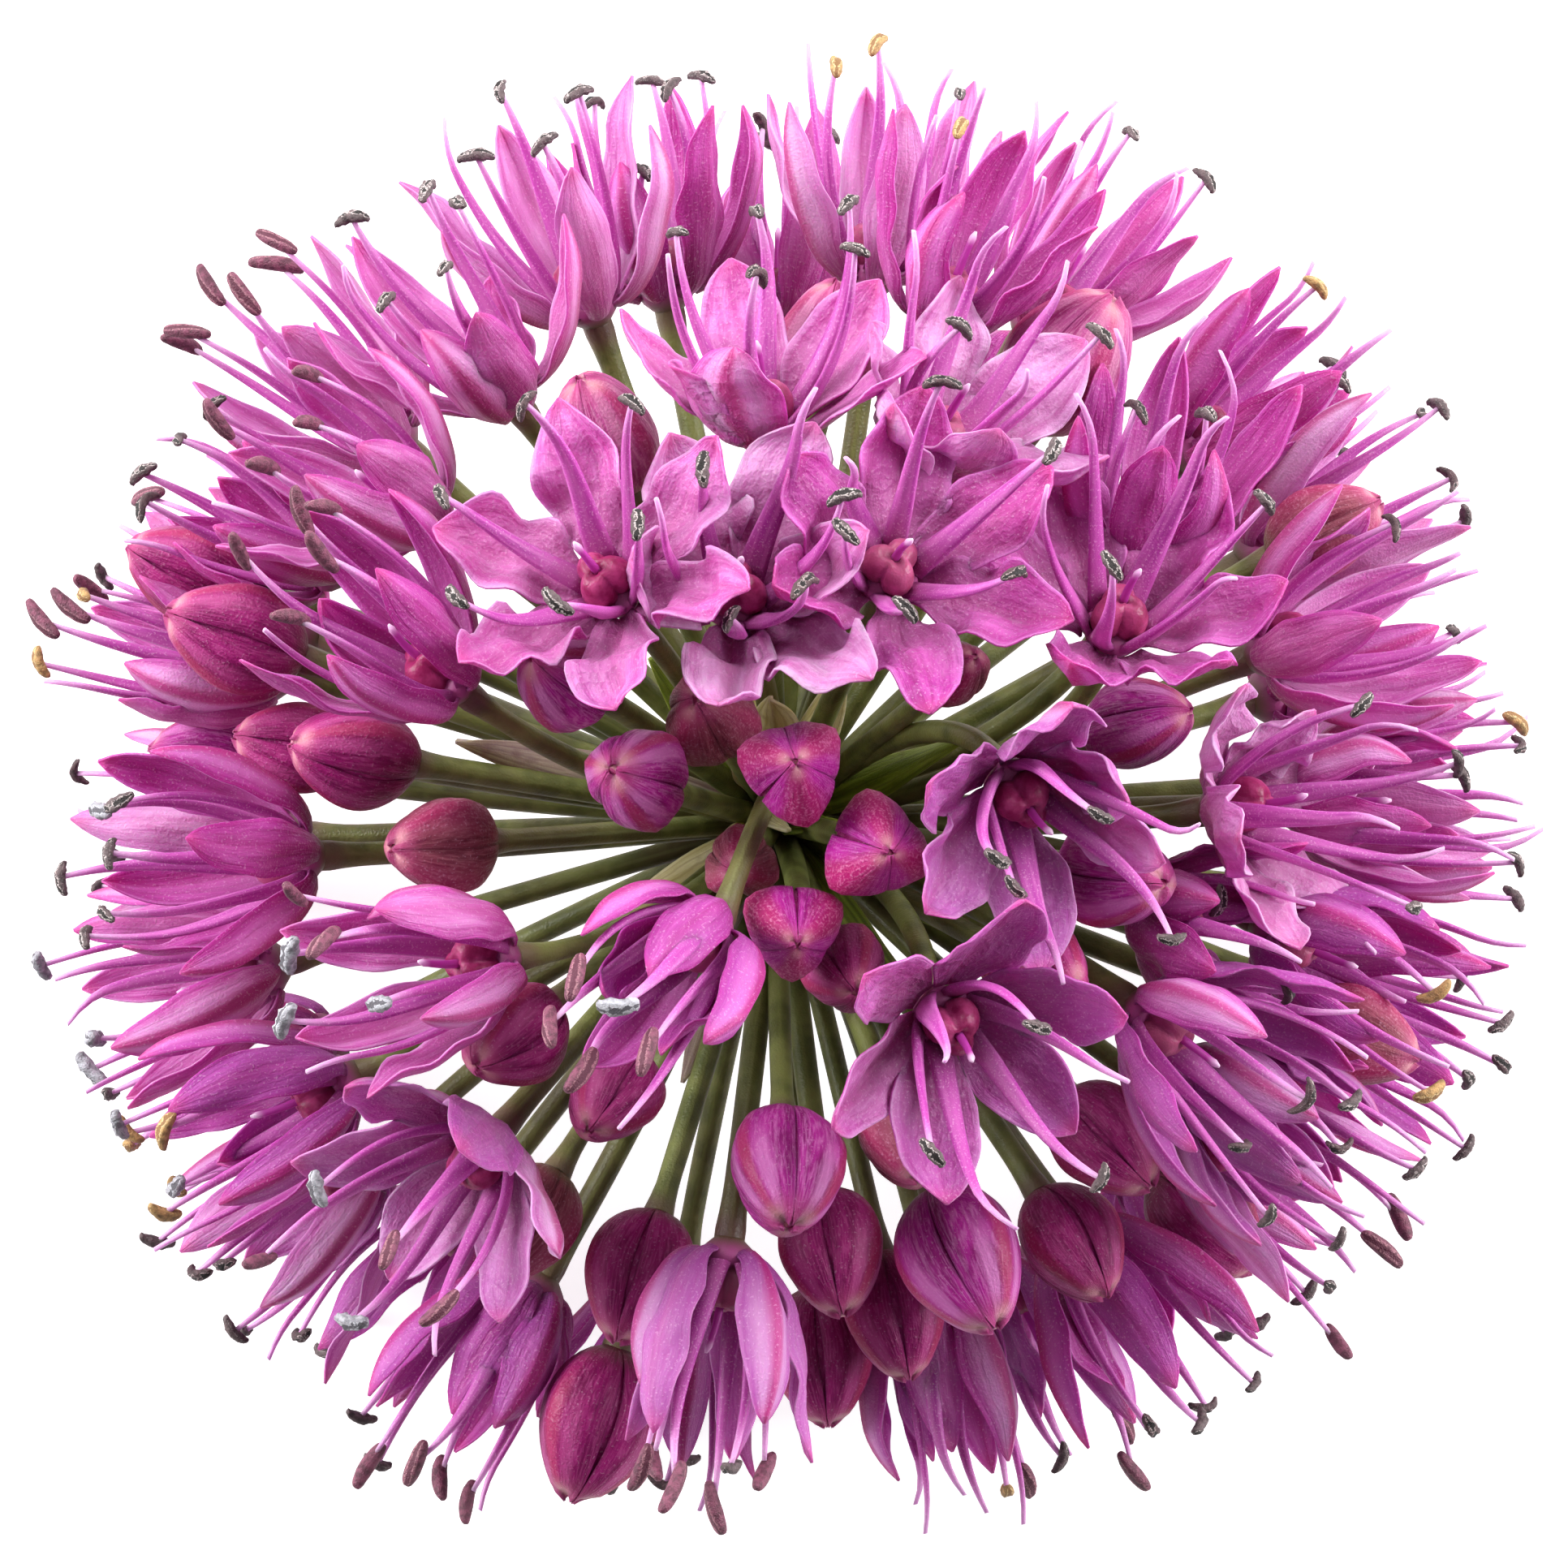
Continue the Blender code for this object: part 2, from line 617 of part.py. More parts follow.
hub = bmesh.new()
bmesh.ops.create_icosphere(hub, subdivisions=2, radius=HUB_RADIUS * MM)
bmesh.ops.translate(hub, verts=hub.verts, vec=HUB * MM)
upright = Flower(HUB, Vector((0, 0, 1)), 0)
ends = [round_ring(upright.place(0, 0, -depth), upright, SCAPE_RADIUS, 10) for depth in (0.4, SCAPE_LENGTH)]
grown = [loft(ends)] + [stalk(flower) for flower in found] + [bract(*row) for row in BRACTS]
fuse("stalks_and_buds", hub, grown, head, green)

for i, drawn in arms.items():
    made = new_object(f"bloom_{i + 1:02d}", rest(bloom(found[i], drawn)), head)
    made.data.materials.append(shades[i % 3])
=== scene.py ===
"""Allium flower head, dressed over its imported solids.

Lengths are in millimetres, like the solids' own layout, and each mesh is made in metres.
"""

import json
import math
import random

import bpy
import numpy as np
from mathutils import Matrix, Vector
from mathutils.kdtree import KDTree

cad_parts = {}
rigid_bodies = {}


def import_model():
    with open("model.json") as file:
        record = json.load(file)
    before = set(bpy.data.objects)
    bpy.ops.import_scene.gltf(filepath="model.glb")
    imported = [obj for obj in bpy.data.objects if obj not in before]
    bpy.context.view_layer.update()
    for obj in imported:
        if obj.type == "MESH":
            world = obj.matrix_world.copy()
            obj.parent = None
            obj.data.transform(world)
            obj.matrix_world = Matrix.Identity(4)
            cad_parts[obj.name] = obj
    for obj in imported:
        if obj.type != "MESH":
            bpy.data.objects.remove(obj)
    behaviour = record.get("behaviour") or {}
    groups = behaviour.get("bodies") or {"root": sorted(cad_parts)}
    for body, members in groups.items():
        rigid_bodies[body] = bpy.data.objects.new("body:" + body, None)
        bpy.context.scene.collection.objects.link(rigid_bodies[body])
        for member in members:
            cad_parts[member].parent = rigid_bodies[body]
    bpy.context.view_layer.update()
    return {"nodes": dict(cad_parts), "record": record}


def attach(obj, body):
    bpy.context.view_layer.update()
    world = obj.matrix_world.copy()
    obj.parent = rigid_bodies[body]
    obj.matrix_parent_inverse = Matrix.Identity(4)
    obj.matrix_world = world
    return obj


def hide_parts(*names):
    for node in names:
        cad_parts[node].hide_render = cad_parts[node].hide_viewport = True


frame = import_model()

# The head. Fifty-four florets and thirty-eight buds stand round one hub, each where the photographed
# head has it. The layout repeats the one of the solids, so that every piece lands on its own solid.
MM = 0.001
HUB = Vector((-0.2, -1.2, 9.3))
HUB_RADIUS = 2.6
# Radius that a stalk and a bloom keep to themselves, that of a bud as a share of its length, and the
# gap between the solids
STALK_ROOM, BLOOM_ROOM, BUD_ROOM_SHARE, GAP = 0.66, 1.95, 0.4, 0.32
BUD_WIDTH, BUD_LENGTH = 3.3, 4.7
TEPAL_LENGTH, TEPAL_WIDTH, BLOOM_MIDDLE = 6.6, 2.15, 1.3
# A floret that opens further than this, in degrees, is seen face on: its tepals are shorter and wider
WIDE_OPEN, OPEN_LENGTH_SHARE, OPEN_WIDTH_SHARE = 45, 0.8, 1.28
# Rounds in which crowded flowers are eased apart and stalks bow round them, and the most for each round
EASE_ROUNDS, EASE_STEP = 60, 0.15
BOW_ROUNDS, BOW_STEP = 14, 0.5
# How far before its flower a stalk starts to turn, as a share of its reach
STALK_TURN_SHARE = 0.34

# Azimuth and polar angle of the stalk's top, reach from the hub, turn and nod from the stalk's own
# direction, opening, spin, count of anthers
BLOOMS = [
    (122, 28, 17.4, 7, 4, 60, 36, 6), (106, 25, 16.2, -18, 4, 58, 37, 4), (66, 29, 16.8, 0, -4, 60, 14, 5),
    (311, 27, 16.6, -4, 8, 50, 13, 3), (12, 27, 16.2, -70, 12, 46, 28, 4),
    (240, 13, 16.2, -16, 26, 19, 10, 5), (208, 36, 16.0, -22, 16, 24, 35, 5),
    (228, 53, 16.6, 2, 2, 46, 5, 5), (156, 38, 16.2, -14, 18, 20, 25, 5), (92, 45, 16.8, 0, 16, 48, 60, 5),
    (68, 46, 16.8, -6, 8, 50, 30, 2), (28, 45, 16.8, 45, -2, 54, 47, 2),
    (334, 50, 16.4, -10, 14, 29, 40, 4), (1, 56, 16.4, 6, 6, 54, 10, 3), (346, 69, 17.6, -14, 4, 33, 35, 2),
    (139, 60, 16.6, 10, -2, 29, 20, 4), (110, 86, 17.4, 0, -16, 30, 10, 4),
    (102, 97, 17.4, -2, -14, 28, 40, 5), (122, 70, 16.8, 4, -14, 33, 15, 5),
    (135, 90, 17.2, 4, -14, 27, 5, 6), (152, 78, 16.6, -2, -6, 27, 30, 4), (166, 82, 16.8, 0, 0, 24, 50, 5),
    (158, 106, 17.0, -2, 0, 25, 20, 2), (184, 70, 15.8, -2, -4, 26, 10, 6),
    (196, 90, 16.8, 0, -6, 25, 45, 3), (182, 108, 16.6, 0, 0, 25, 15, 3), (211, 76, 16.4, -6, 4, 22, 25, 5),
    (206, 108, 17.0, 2, 0, 25, 0, 4), (220, 92, 17.0, 2, 2, 25, 35, 5), (243, 84, 16.8, -4, 2, 21, 10, 5),
    (232, 108, 16.8, 0, 0, 23, 30, 5), (266, 55, 16.2, -4, 22, 19, 20, 6),
    (258, 107, 15.8, 2, 0, 23, 40, 4), (287, 84, 15.8, -6, 2, 14, 15, 1), (297, 96, 16.0, -2, 0, 21, 35, 4),
    (307, 80, 16.4, -2, 4, 25, 5, 4), (316, 108, 16.8, -2, 0, 23, 25, 4), (324, 76, 16.8, -2, 4, 25, 45, 4),
    (342, 90, 17.2, -6, -6, 29, 10, 4), (352, 106, 17.2, 0, 0, 27, 40, 4), (4, 84, 16.8, 0, 2, 27, 20, 1),
    (14, 105, 16.8, 2, 0, 27, 50, 1), (19, 72, 17.0, 4, -4, 31, 5, 1), (29, 90, 17.4, 2, 0, 27, 30, 4),
    (42, 86, 17.6, -4, -4, 25, 15, 2), (63, 88, 17.8, -8, -6, 27, 40, 2), (80, 89, 17.6, 6, -10, 28, 10, 3),
    (74, 66, 17.4, -4, 0, 27, 35, 1), (2, 70, 17.2, 0, 2, 26, 25, 3), (329, 64, 16.8, -4, 6, 28, 40, 3),
    (36, 57, 16.6, 40, 6, 30, 0, 2), (90, 106, 16.8, 0, 0, 23, 20, 3), (38, 108, 16.8, 0, 0, 23, 45, 3),
    (346, 55, 14.5, 0, 0, 34, 25, 2)]

# Azimuth, polar angle and reach of the middle of the bud, size, spin
BUDS = [
    (58, 66, 19.2, 1.16, 0), (81, 64, 17.6, 0.98, 20), (114, 55, 16.6, 1.0, 10), (161, 75, 18.8, 1.04, 30),
    (158, 83, 20.6, 0.9, 15), (171, 88, 18.4, 0.92, 40), (171, 62, 15.8, 0.98, 0),
    (184, 46, 15.0, 0.92, 25), (149, 32, 16.0, 0.96, 10), (159, 20, 14.6, 0.96, 35),
    (125, 19, 12.2, 0.9, 20), (69, 6, 16.0, 0.92, 5), (341, 11, 15.2, 0.94, 30), (284, 13, 14.8, 0.86, 15),
    (294, 23, 13.0, 0.8, 45), (229, 9, 11.6, 0.7, 20), (220, 44, 15.4, 0.92, 0), (237, 42, 15.2, 0.86, 25),
    (273, 43, 16.2, 1.08, 10), (279, 60, 16.4, 0.98, 35), (290, 44, 15.6, 0.86, 15),
    (294, 62, 17.2, 1.16, 40), (303, 66, 17.4, 0.94, 5), (314, 62, 17.0, 0.96, 30),
    (316, 85, 19.0, 0.98, 20), (333, 38, 15.6, 0.92, 10), (349, 40, 16.6, 1.0, 35), (15, 58, 14.2, 0.86, 0),
    (28, 78, 20.6, 0.9, 25), (341, 72, 20.2, 0.96, 15), (252, 66, 16.8, 1.02, 40),
    (253, 82, 20.8, 1.14, 10), (276, 82, 17.6, 1.0, 30), (239, 66, 16.8, 0.94, 20), (40, 31, 14.4, 0.62, 5),
    (169, 76, 17.0, 0.86, 35), (64, 106, 16.8, 0.9, 15), (283, 74, 17.2, 0.95, 25)]


def direction(azimuth, polar):
    """Unit vector from an azimuth about +Z and a polar angle from +Z, in degrees."""
    a, p = math.radians(azimuth), math.radians(polar)
    return Vector((math.sin(p) * math.cos(a), math.sin(p) * math.sin(a), math.cos(p)))


def frame_of(axis, spin):
    """Two unit vectors across an axis, turned by the spin in degrees."""
    side = Vector((0, 0, 1)).cross(axis)
    side = side.normalized() if side.length > 0.05 else Vector((1, 0, 0))
    other = axis.cross(side)
    s = math.radians(spin)
    return side * math.cos(s) + other * math.sin(s), other * math.cos(s) - side * math.sin(s)


class Flower:
    """One bloom or bud: the place of its base, its axis and the space that it keeps to itself."""

    def __init__(self, base, axis, spin, opening=0.0, anthers=0, size=1.0, bud=False):
        self.base, self.axis, self.opening = base, axis, opening
        self.anthers, self.size, self.bud = anthers, size, bud
        self.across, self.along = frame_of(axis, spin)
        self.room = BUD_ROOM_SHARE * BUD_LENGTH * size if bud else BLOOM_ROOM
        self.wide = opening > WIDE_OPEN
        self.tepal_length = TEPAL_LENGTH * (OPEN_LENGTH_SHARE if self.wide else 1.0)
        self.tepal_width = TEPAL_WIDTH * (OPEN_WIDTH_SHARE if self.wide else 1.0)
        self.bow = Vector()

    def centre(self):
        return self.base + self.axis * (0.5 * BUD_LENGTH * self.size if self.bud else BLOOM_MIDDLE)

    def place(self, radius, angle, height):
        """Point at a radius and angle round the flower's axis, at a height over its base."""
        a = math.radians(angle)
        outwards = self.across * math.cos(a) + self.along * math.sin(a)
        return self.base + self.axis * height + outwards * radius


flowers = []
for azimuth, polar, reach, turn, nod, opening, spin, anthers in BLOOMS:
    axis = direction(azimuth + turn, polar + nod)
    flowers.append(Flower(HUB + direction(azimuth, polar) * reach, axis, spin, opening, anthers))
for azimuth, polar, reach, size, spin in BUDS:
    axis = direction(azimuth, polar)
    base = HUB + axis * (reach - 0.5 * BUD_LENGTH * size)
    flowers.append(Flower(base, axis, spin, size=size, bud=True))
for _ in range(EASE_ROUNDS):
    for i, one in enumerate(flowers):
        for other in flowers[:i]:
            apart = one.centre() - other.centre()
            lack = one.room + other.room + GAP - apart.length
            if lack > 0:
                push = apart.normalized() * min(0.5 * lack, EASE_STEP)
                one.base += push
                other.base -= push


def stalk_path(flower, steps=8):
    """Middle line of a stalk, from inside the hub to just under its flower."""
    end = flower.base - flower.axis * (0.0 if flower.bud else GAP)
    reach = (end - HUB).length
    control = end - flower.axis * (STALK_TURN_SHARE * reach) + flower.bow
    start = HUB + (control - HUB).normalized() * (0.5 * HUB_RADIUS)
    points = []
    for i in range(steps + 1):
        t = i / steps
        points.append(start * (1 - t) ** 2 + control * (2 * t * (1 - t)) + end * t ** 2)
    return points


for _ in range(BOW_ROUNDS):
    for one in flowers:
        for other in flowers:
            if other is one:
                continue
            path = stalk_path(one)
            nearest = min(path[2:], key=lambda p: (p - other.centre()).length)
            lack = other.room + STALK_ROOM + GAP - (nearest - other.centre()).length
            if lack > 0 and nearest is not path[-1]:
                away = nearest - other.centre()
                away -= one.axis * away.dot(one.axis)
                one.bow += away.normalized() * min(lack, BOW_STEP)

# Flower stalks. Each is a juicy green stem with fine ribs, thickest where it carries its floret or
# bud, and darker down at the hub. One tree sweeps a ribbed section along all their middle lines.
# Least height of any piece over the surface that the head rests on
SURFACE = 0.02
STALK_SEED, SWEEP_STEPS = 3, 22
STALK_RADII, STALK_TOP_RADIUS, INTO_FLOWER = (0.33, 0.4), 0.48, 0.12
# Where along the stalk it starts to swell
SWELL_START = 0.86


class Skin:
    """Vertices and faces of one piece, with the marks that its materials read."""

    MARKS = ("along", "across", "tint", "keel", "back", "glass")

    def __init__(self):
        self.verts, self.faces, self.slots = [], [], []
        self.marks = {name: [] for name in self.MARKS}
        self.count = 0

    def add(self, verts, faces, slot, **marks):
        """Adds a part. Each mark is one value, or one for each vertex."""
        verts = np.asarray(verts, float).reshape(-1, 3)
        self.verts.append(verts)
        self.faces += [[v + self.count for v in face] for face in faces]
        self.slots += [slot] * len(faces)
        for name in self.MARKS:
            values = np.asarray(marks.get(name, 0.0), float).ravel()
            self.marks[name].append(np.broadcast_to(values, len(verts)))
        self.count += len(verts)

    def mesh(self, name, materials, floor=SURFACE):
        """The piece as a smooth mesh in metres, kept over the surface that the head rests on."""
        verts = np.concatenate(self.verts)
        if floor is not None:
            verts[:, 2] = np.maximum(verts[:, 2], floor)
        made = bpy.data.meshes.new(name)
        made.from_pydata((verts * MM).tolist(), [], self.faces)
        for material in materials:
            made.materials.append(material)
        made.polygons.foreach_set("material_index", self.slots)
        for mark, values in self.marks.items():
            made.attributes.new(mark, "FLOAT", "POINT").data.foreach_set("value", np.concatenate(values))
        made.shade_smooth()
        return made


def put(name, mesh):
    """Puts a mesh into the scene as a piece that rides with the head."""
    piece = bpy.data.objects.new(name, mesh)
    bpy.context.scene.collection.objects.link(piece)
    return piece


def node(tree, kind, inputs=None, **settings):
    """New node. An input is a value, or the output socket that feeds it."""
    made = tree.nodes.new(kind)
    for name, value in settings.items():
        setattr(made, name, value)
    for name, value in (inputs or {}).items():
        if isinstance(value, bpy.types.NodeSocket):
            tree.links.new(value, made.inputs[name])
        else:
            made.inputs[name].default_value = value
    return made


def tree_of(*values):
    """Tree of the first output socket among some values."""
    return next(value.id_data for value in values if isinstance(value, bpy.types.NodeSocket))


def maths(operation, *values):
    """Output of a Math node. A value is a number or an output socket."""
    return node(tree_of(*values), "ShaderNodeMath", dict(enumerate(values)), operation=operation).outputs[0]


def product(*values):
    """Product of several values, each a number or a socket."""
    total = values[0]
    for value in values[1:]:
        total = maths("MULTIPLY", total, value)
    return total


def named(tree, name, kind="FLOAT"):
    """Output of a named attribute in a geometry tree."""
    return node(tree, "GeometryNodeInputNamedAttribute", {"Name": name}, data_type=kind).outputs["Attribute"]


def grown(tree, mesh, name, values):
    """Runs a geometry tree on a mesh with values for its named inputs, and gives the plain mesh."""
    holder = bpy.data.objects.new(name, mesh)
    bpy.context.scene.collection.objects.link(holder)
    grow = holder.modifiers.new(tree.name, "NODES")
    grow.node_group = tree
    for item in tree.interface.items_tree:
        if item.in_out == "INPUT" and item.name in values:
            grow[item.identifier] = values[item.name]
    bpy.context.view_layer.update()
    result = bpy.data.meshes.new_from_object(holder.evaluated_get(bpy.context.evaluated_depsgraph_get()))
    holder.modifiers.remove(grow)
    bpy.data.objects.remove(holder)
    result.name = name
    return result


def geometry_tree(name, inputs):
    """Empty geometry tree with named inputs, and its input and output nodes."""
    tree = bpy.data.node_groups.new(name, "GeometryNodeTree")
    tree.interface.new_socket("Geometry", in_out="INPUT", socket_type="NodeSocketGeometry")
    for label, kind, default in inputs:
        made = tree.interface.new_socket(label, in_out="INPUT", socket_type=kind)
        if default is not None:
            made.default_value = default
    tree.interface.new_socket("Geometry", in_out="OUTPUT", socket_type="NodeSocketGeometry")
    return tree, tree.nodes.new("NodeGroupInput").outputs, tree.nodes.new("NodeGroupOutput")


stalk_tree, given, result = geometry_tree("Stalks along their paths", [
    ("Sides", "NodeSocketInt", 12), ("Ribs", "NodeSocketInt", 4), ("Rib height", "NodeSocketFloat", 0.035),
    ("Material", "NodeSocketMaterial", None)])
round_about = node(stalk_tree, "GeometryNodeSplineParameter").outputs["Factor"]
turn = product(round_about, given["Ribs"], 2 * math.pi)
bulge = maths("MULTIPLY", maths("COSINE", turn), given["Rib height"])
section = node(stalk_tree, "GeometryNodeCurvePrimitiveCircle", {"Resolution": given["Sides"]})
position = node(stalk_tree, "GeometryNodeInputPosition").outputs[0]
outwards = node(stalk_tree, "ShaderNodeVectorMath", {0: position, "Scale": bulge}, operation="SCALE")
ribbed = node(stalk_tree, "GeometryNodeSetPosition", {"Geometry": section.outputs["Curve"],
                                                      "Offset": outwards.outputs[0]})
marked = node(stalk_tree, "GeometryNodeStoreNamedAttribute",
              {"Geometry": ribbed.outputs[0], "Name": "across", "Value": round_about}, domain="POINT")
lines = node(stalk_tree, "GeometryNodeMeshToCurve", {"Mesh": given["Geometry"]})
swept = node(stalk_tree, "GeometryNodeCurveToMesh",
             {"Curve": lines.outputs[0], "Profile Curve": marked.outputs[0],
              "Scale": named(stalk_tree, "thickness"), "Fill Caps": True})
smooth = node(stalk_tree, "GeometryNodeSetShadeSmooth", {"Geometry": swept.outputs[0]})
real = node(stalk_tree, "GeometryNodeRealizeInstances", {"Geometry": smooth.outputs[0]})
coloured = node(stalk_tree, "GeometryNodeSetMaterial",
                {"Geometry": real.outputs[0], "Material": given["Material"]})
stalk_tree.links.new(coloured.outputs[0], result.inputs[0])


# How far light goes into the tissue, in millimetres, and how strong a bump is
LIGHT_DEPTH, BUMP_STRENGTH = 0.5, 0.6


def new_material(name, roughness, subsurface=0.0, reach=(1.0, 0.5, 0.5), specular=0.5):
    """Principled material, its node tree and its shader."""
    made = bpy.data.materials.new(name)
    made.use_nodes = True
    shader = made.node_tree.nodes["Principled BSDF"]
    shader.inputs["Roughness"].default_value = roughness
    shader.inputs["Specular IOR Level"].default_value = specular
    shader.inputs["Subsurface Weight"].default_value = subsurface
    shader.inputs["Subsurface Radius"].default_value = reach
    shader.inputs["Subsurface Scale"].default_value = LIGHT_DEPTH * MM
    return made, made.node_tree, shader


def mark(tree, name):
    """Output of one of a piece's marks in a material."""
    return node(tree, "ShaderNodeAttribute", attribute_name=name).outputs["Fac"]


def mixed(amount, one, other):
    """Colour between two colours, each a tuple or a socket."""
    tree = tree_of(amount, one, other)
    made = node(tree, "ShaderNodeMix", data_type="RGBA")
    for slot, value in ((0, amount), (6, one), (7, other)):
        if isinstance(value, bpy.types.NodeSocket):
            tree.links.new(value, made.inputs[slot])
        else:
            made.inputs[slot].default_value = (*value, 1) if slot else value
    return made.outputs[2]


def layered(colour, *layers):
    """Colour with layers laid over it in turn, each an amount and a colour."""
    for amount, other in layers:
        colour = mixed(amount, colour, other)
    return colour


def ramp(value, low, high, start=0.0, end=1.0):
    """Value moved from one range into another, with soft ends."""
    limits = {"Value": value, "From Min": low, "From Max": high, "To Min": start, "To Max": end}
    made = node(tree_of(value), "ShaderNodeMapRange", limits, interpolation_type="SMOOTHSTEP")
    return made.outputs["Result"]


def shader_group(name, inputs, outputs):
    """Empty shader group with named inputs and outputs, and its input and output nodes."""
    group = bpy.data.node_groups.new(name, "ShaderNodeTree")
    for label, value in inputs.items():
        made = group.interface.new_socket(label, in_out="INPUT", socket_type="NodeSocketFloat")
        made.default_value = value
    for label in outputs:
        group.interface.new_socket(label, in_out="OUTPUT", socket_type="NodeSocketFloat")
    return group, group.nodes.new("NodeGroupInput").outputs, group.nodes.new("NodeGroupOutput").inputs


# Fine grain of plant skin: blotches of tissue, and the cells in them, with their sizes in millimetres
grain, given, result = shader_group("Plant skin grain", {"Blotch size": 0.4, "Cell size": 0.06},
                                    ("Blotches", "Cells"))
where = node(grain, "ShaderNodeTexCoord").outputs["Object"]
for label, size, detail in (("Blotches", "Blotch size", 3.0), ("Cells", "Cell size", 1.0)):
    scale = maths("DIVIDE", 1 / MM, given[size])
    spots = node(grain, "ShaderNodeTexNoise", {"Vector": where, "Scale": scale, "Detail": detail})
    grain.links.new(spots.outputs["Fac"], result[label])


def grained(tree, blotch, cell):
    """Blotches and cells of the grain group with its two sizes, in millimetres."""
    made = tree.nodes.new("ShaderNodeGroup")
    made.node_tree = grain
    made.inputs["Blotch size"].default_value = blotch
    made.inputs["Cell size"].default_value = cell
    return made.outputs["Blotches"], made.outputs["Cells"]


def finished(shader, colour, height, depth, roughness=None):
    """Feeds a colour, a bump from a height, and where given a roughness. The depth is in millimetres."""
    tree = shader.id_data
    bump = node(tree, "ShaderNodeBump",
                {"Height": height, "Distance": depth * MM, "Strength": BUMP_STRENGTH})
    tree.links.new(colour, shader.inputs["Base Color"])
    tree.links.new(bump.outputs["Normal"], shader.inputs["Normal"])
    if roughness:
        tree.links.new(roughness, shader.inputs["Roughness"])


stalk_skin, tree, shader = new_material("Stalk skin", 0.42, subsurface=0.15, reach=(0.7, 1.0, 0.2))
blotches, cells = grained(tree, 1.4, 0.09)
patches, along = grained(tree, 5.0, 2.2), mark(tree, "along")
stripe = maths("COSINE", product(mark(tree, "across"), 8 * math.pi))
green = layered(
    mixed(ramp(blotches, 0.35, 0.65), (0.11, 0.13, 0.03), (0.24, 0.27, 0.075)),
    (ramp(patches[0], 0.45, 0.65, 0.0, 0.6), (0.1, 0.066, 0.03)),
    (ramp(stripe, 0.55, 1.0, 0.0, 0.35), (0.23, 0.25, 0.08)))
# Darker over the third of each stalk nearest the hub
low = mixed(0.5, green, (0.06, 0.045, 0.014))
green = mixed(ramp(along, 0.0, 0.3), low, green)
green = mixed(ramp(along, 0.93, 1.0, 0.0, 0.5), green, (0.16, 0.06, 0.08))
finished(shader, green, maths("ADD", cells, patches[1]), 0.04)

draw = random.Random(STALK_SEED)
path_verts, path_edges, thickness, along = [], [], [], []
for flower in flowers:
    line = stalk_path(flower, SWEEP_STEPS)
    line.append(flower.base + flower.axis * INTO_FLOWER)
    radius = draw.uniform(*STALK_RADII)
    for i, point in enumerate(line):
        t = min(i / SWEEP_STEPS, 1.0)
        if i:
            path_edges.append((len(path_verts) - 1, len(path_verts)))
        path_verts.append(point * MM)
        swell = max(0.0, (t - SWELL_START) / (1 - SWELL_START)) ** 2
        thickness.append((radius + (STALK_TOP_RADIUS - radius) * swell) * MM)
        along.append(t)
lines = bpy.data.meshes.new("stalk_lines")
lines.from_pydata(path_verts, path_edges, [])
lines.attributes.new("thickness", "FLOAT", "POINT").data.foreach_set("value", thickness)
lines.attributes.new("along", "FLOAT", "POINT").data.foreach_set("value", along)
stalks = put("stalks", grown(stalk_tree, lines, "stalks", {"Material": stalk_skin}))
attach(stalks, "root")
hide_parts("stalks_and_buds")

# Hub and scape. The hub is the knob that all stalks grow from, dark olive between them. Under it
# stands the cut end of the scape, the onion's thick flower stem.
SCAPE_RADIUS, SCAPE_LENGTH = 1.5, 8.0
KNOB_WIDE_SHARE, KNOB_TALL_SHARE = 0.9, 0.8
HUB_SIDES = 48


def tube(rings):
    """Vertices and faces of a closed tube through rings of points, capped at both ends."""
    rings = np.asarray(rings, float)
    count, sides = rings.shape[:2]
    faces = []
    for i in range(count - 1):
        for j in range(sides):
            k = (j + 1) % sides
            faces.append((i * sides + j, i * sides + k, (i + 1) * sides + k, (i + 1) * sides + j))
    faces.append(tuple(range(sides))[::-1])
    faces.append(tuple((count - 1) * sides + j for j in range(sides)))
    return rings.reshape(-1, 3), faces


def grid_marks(rows, columns):
    """Marks along the rows and across the columns of a grid of points, from 0 to 1."""
    along, across = np.meshgrid(np.linspace(0, 1, rows), np.linspace(0, 1, columns), indexing="ij")
    return {"along": along, "across": across}


def turned(flower, profile, sides, lobes=0, depth=0.0):
    """Rings of a turned shape round a flower's axis. Profile: radius, height, share of the lobes."""
    angles = np.arange(sides) * 2 * math.pi / sides
    rings = []
    for radius, height, share in profile:
        swell = 1 + depth * share * np.cos(lobes * angles)
        rings.append([flower.place(radius * s, math.degrees(a), height) for s, a in zip(swell, angles)])
    return rings


upright = Flower(HUB, Vector((0, 0, 1)), 0)
knob = Skin()
profile = [(HUB_RADIUS * KNOB_WIDE_SHARE * math.sin(a), HUB_RADIUS * KNOB_TALL_SHARE * math.cos(a), 1.0)
           for a in np.linspace(math.pi - 0.05, 0.05, 12)]
# Radius as a share and height of the scape, from inside its cut end up into the hub
cut_stem = ((0.2, -7.6), (0.5, -7.9), (0.94, -SCAPE_LENGTH), (1.0, -7.94), (0.99, -6.0), (1.0, -4.0),
            (1.05, -2.4), (1.3, -1.2), (1.4, 0.0))
stem = [(SCAPE_RADIUS * share, height, 1.0) for share, height in cut_stem]
for outline, lobes, depth in ((profile, 14, 0.05), (stem, 12, 0.02)):
    rings = turned(upright, outline, HUB_SIDES, lobes, depth)
    knob.add(*tube(rings), 0, **grid_marks(len(outline), HUB_SIDES))
hub_skin, tree, shader = new_material("Hub skin", 0.55, subsurface=0.05, reach=(0.6, 1.0, 0.2))
blotches = grained(tree, 0.8, 0.08)[0]
olive = mixed(ramp(blotches, 0.35, 0.7), (0.04, 0.045, 0.015), (0.13, 0.15, 0.04))
finished(shader, olive, blotches, 0.1)
hub = put("hub", knob.mesh("hub", [hub_skin]))
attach(hub, "root")
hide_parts("stalks_and_buds")

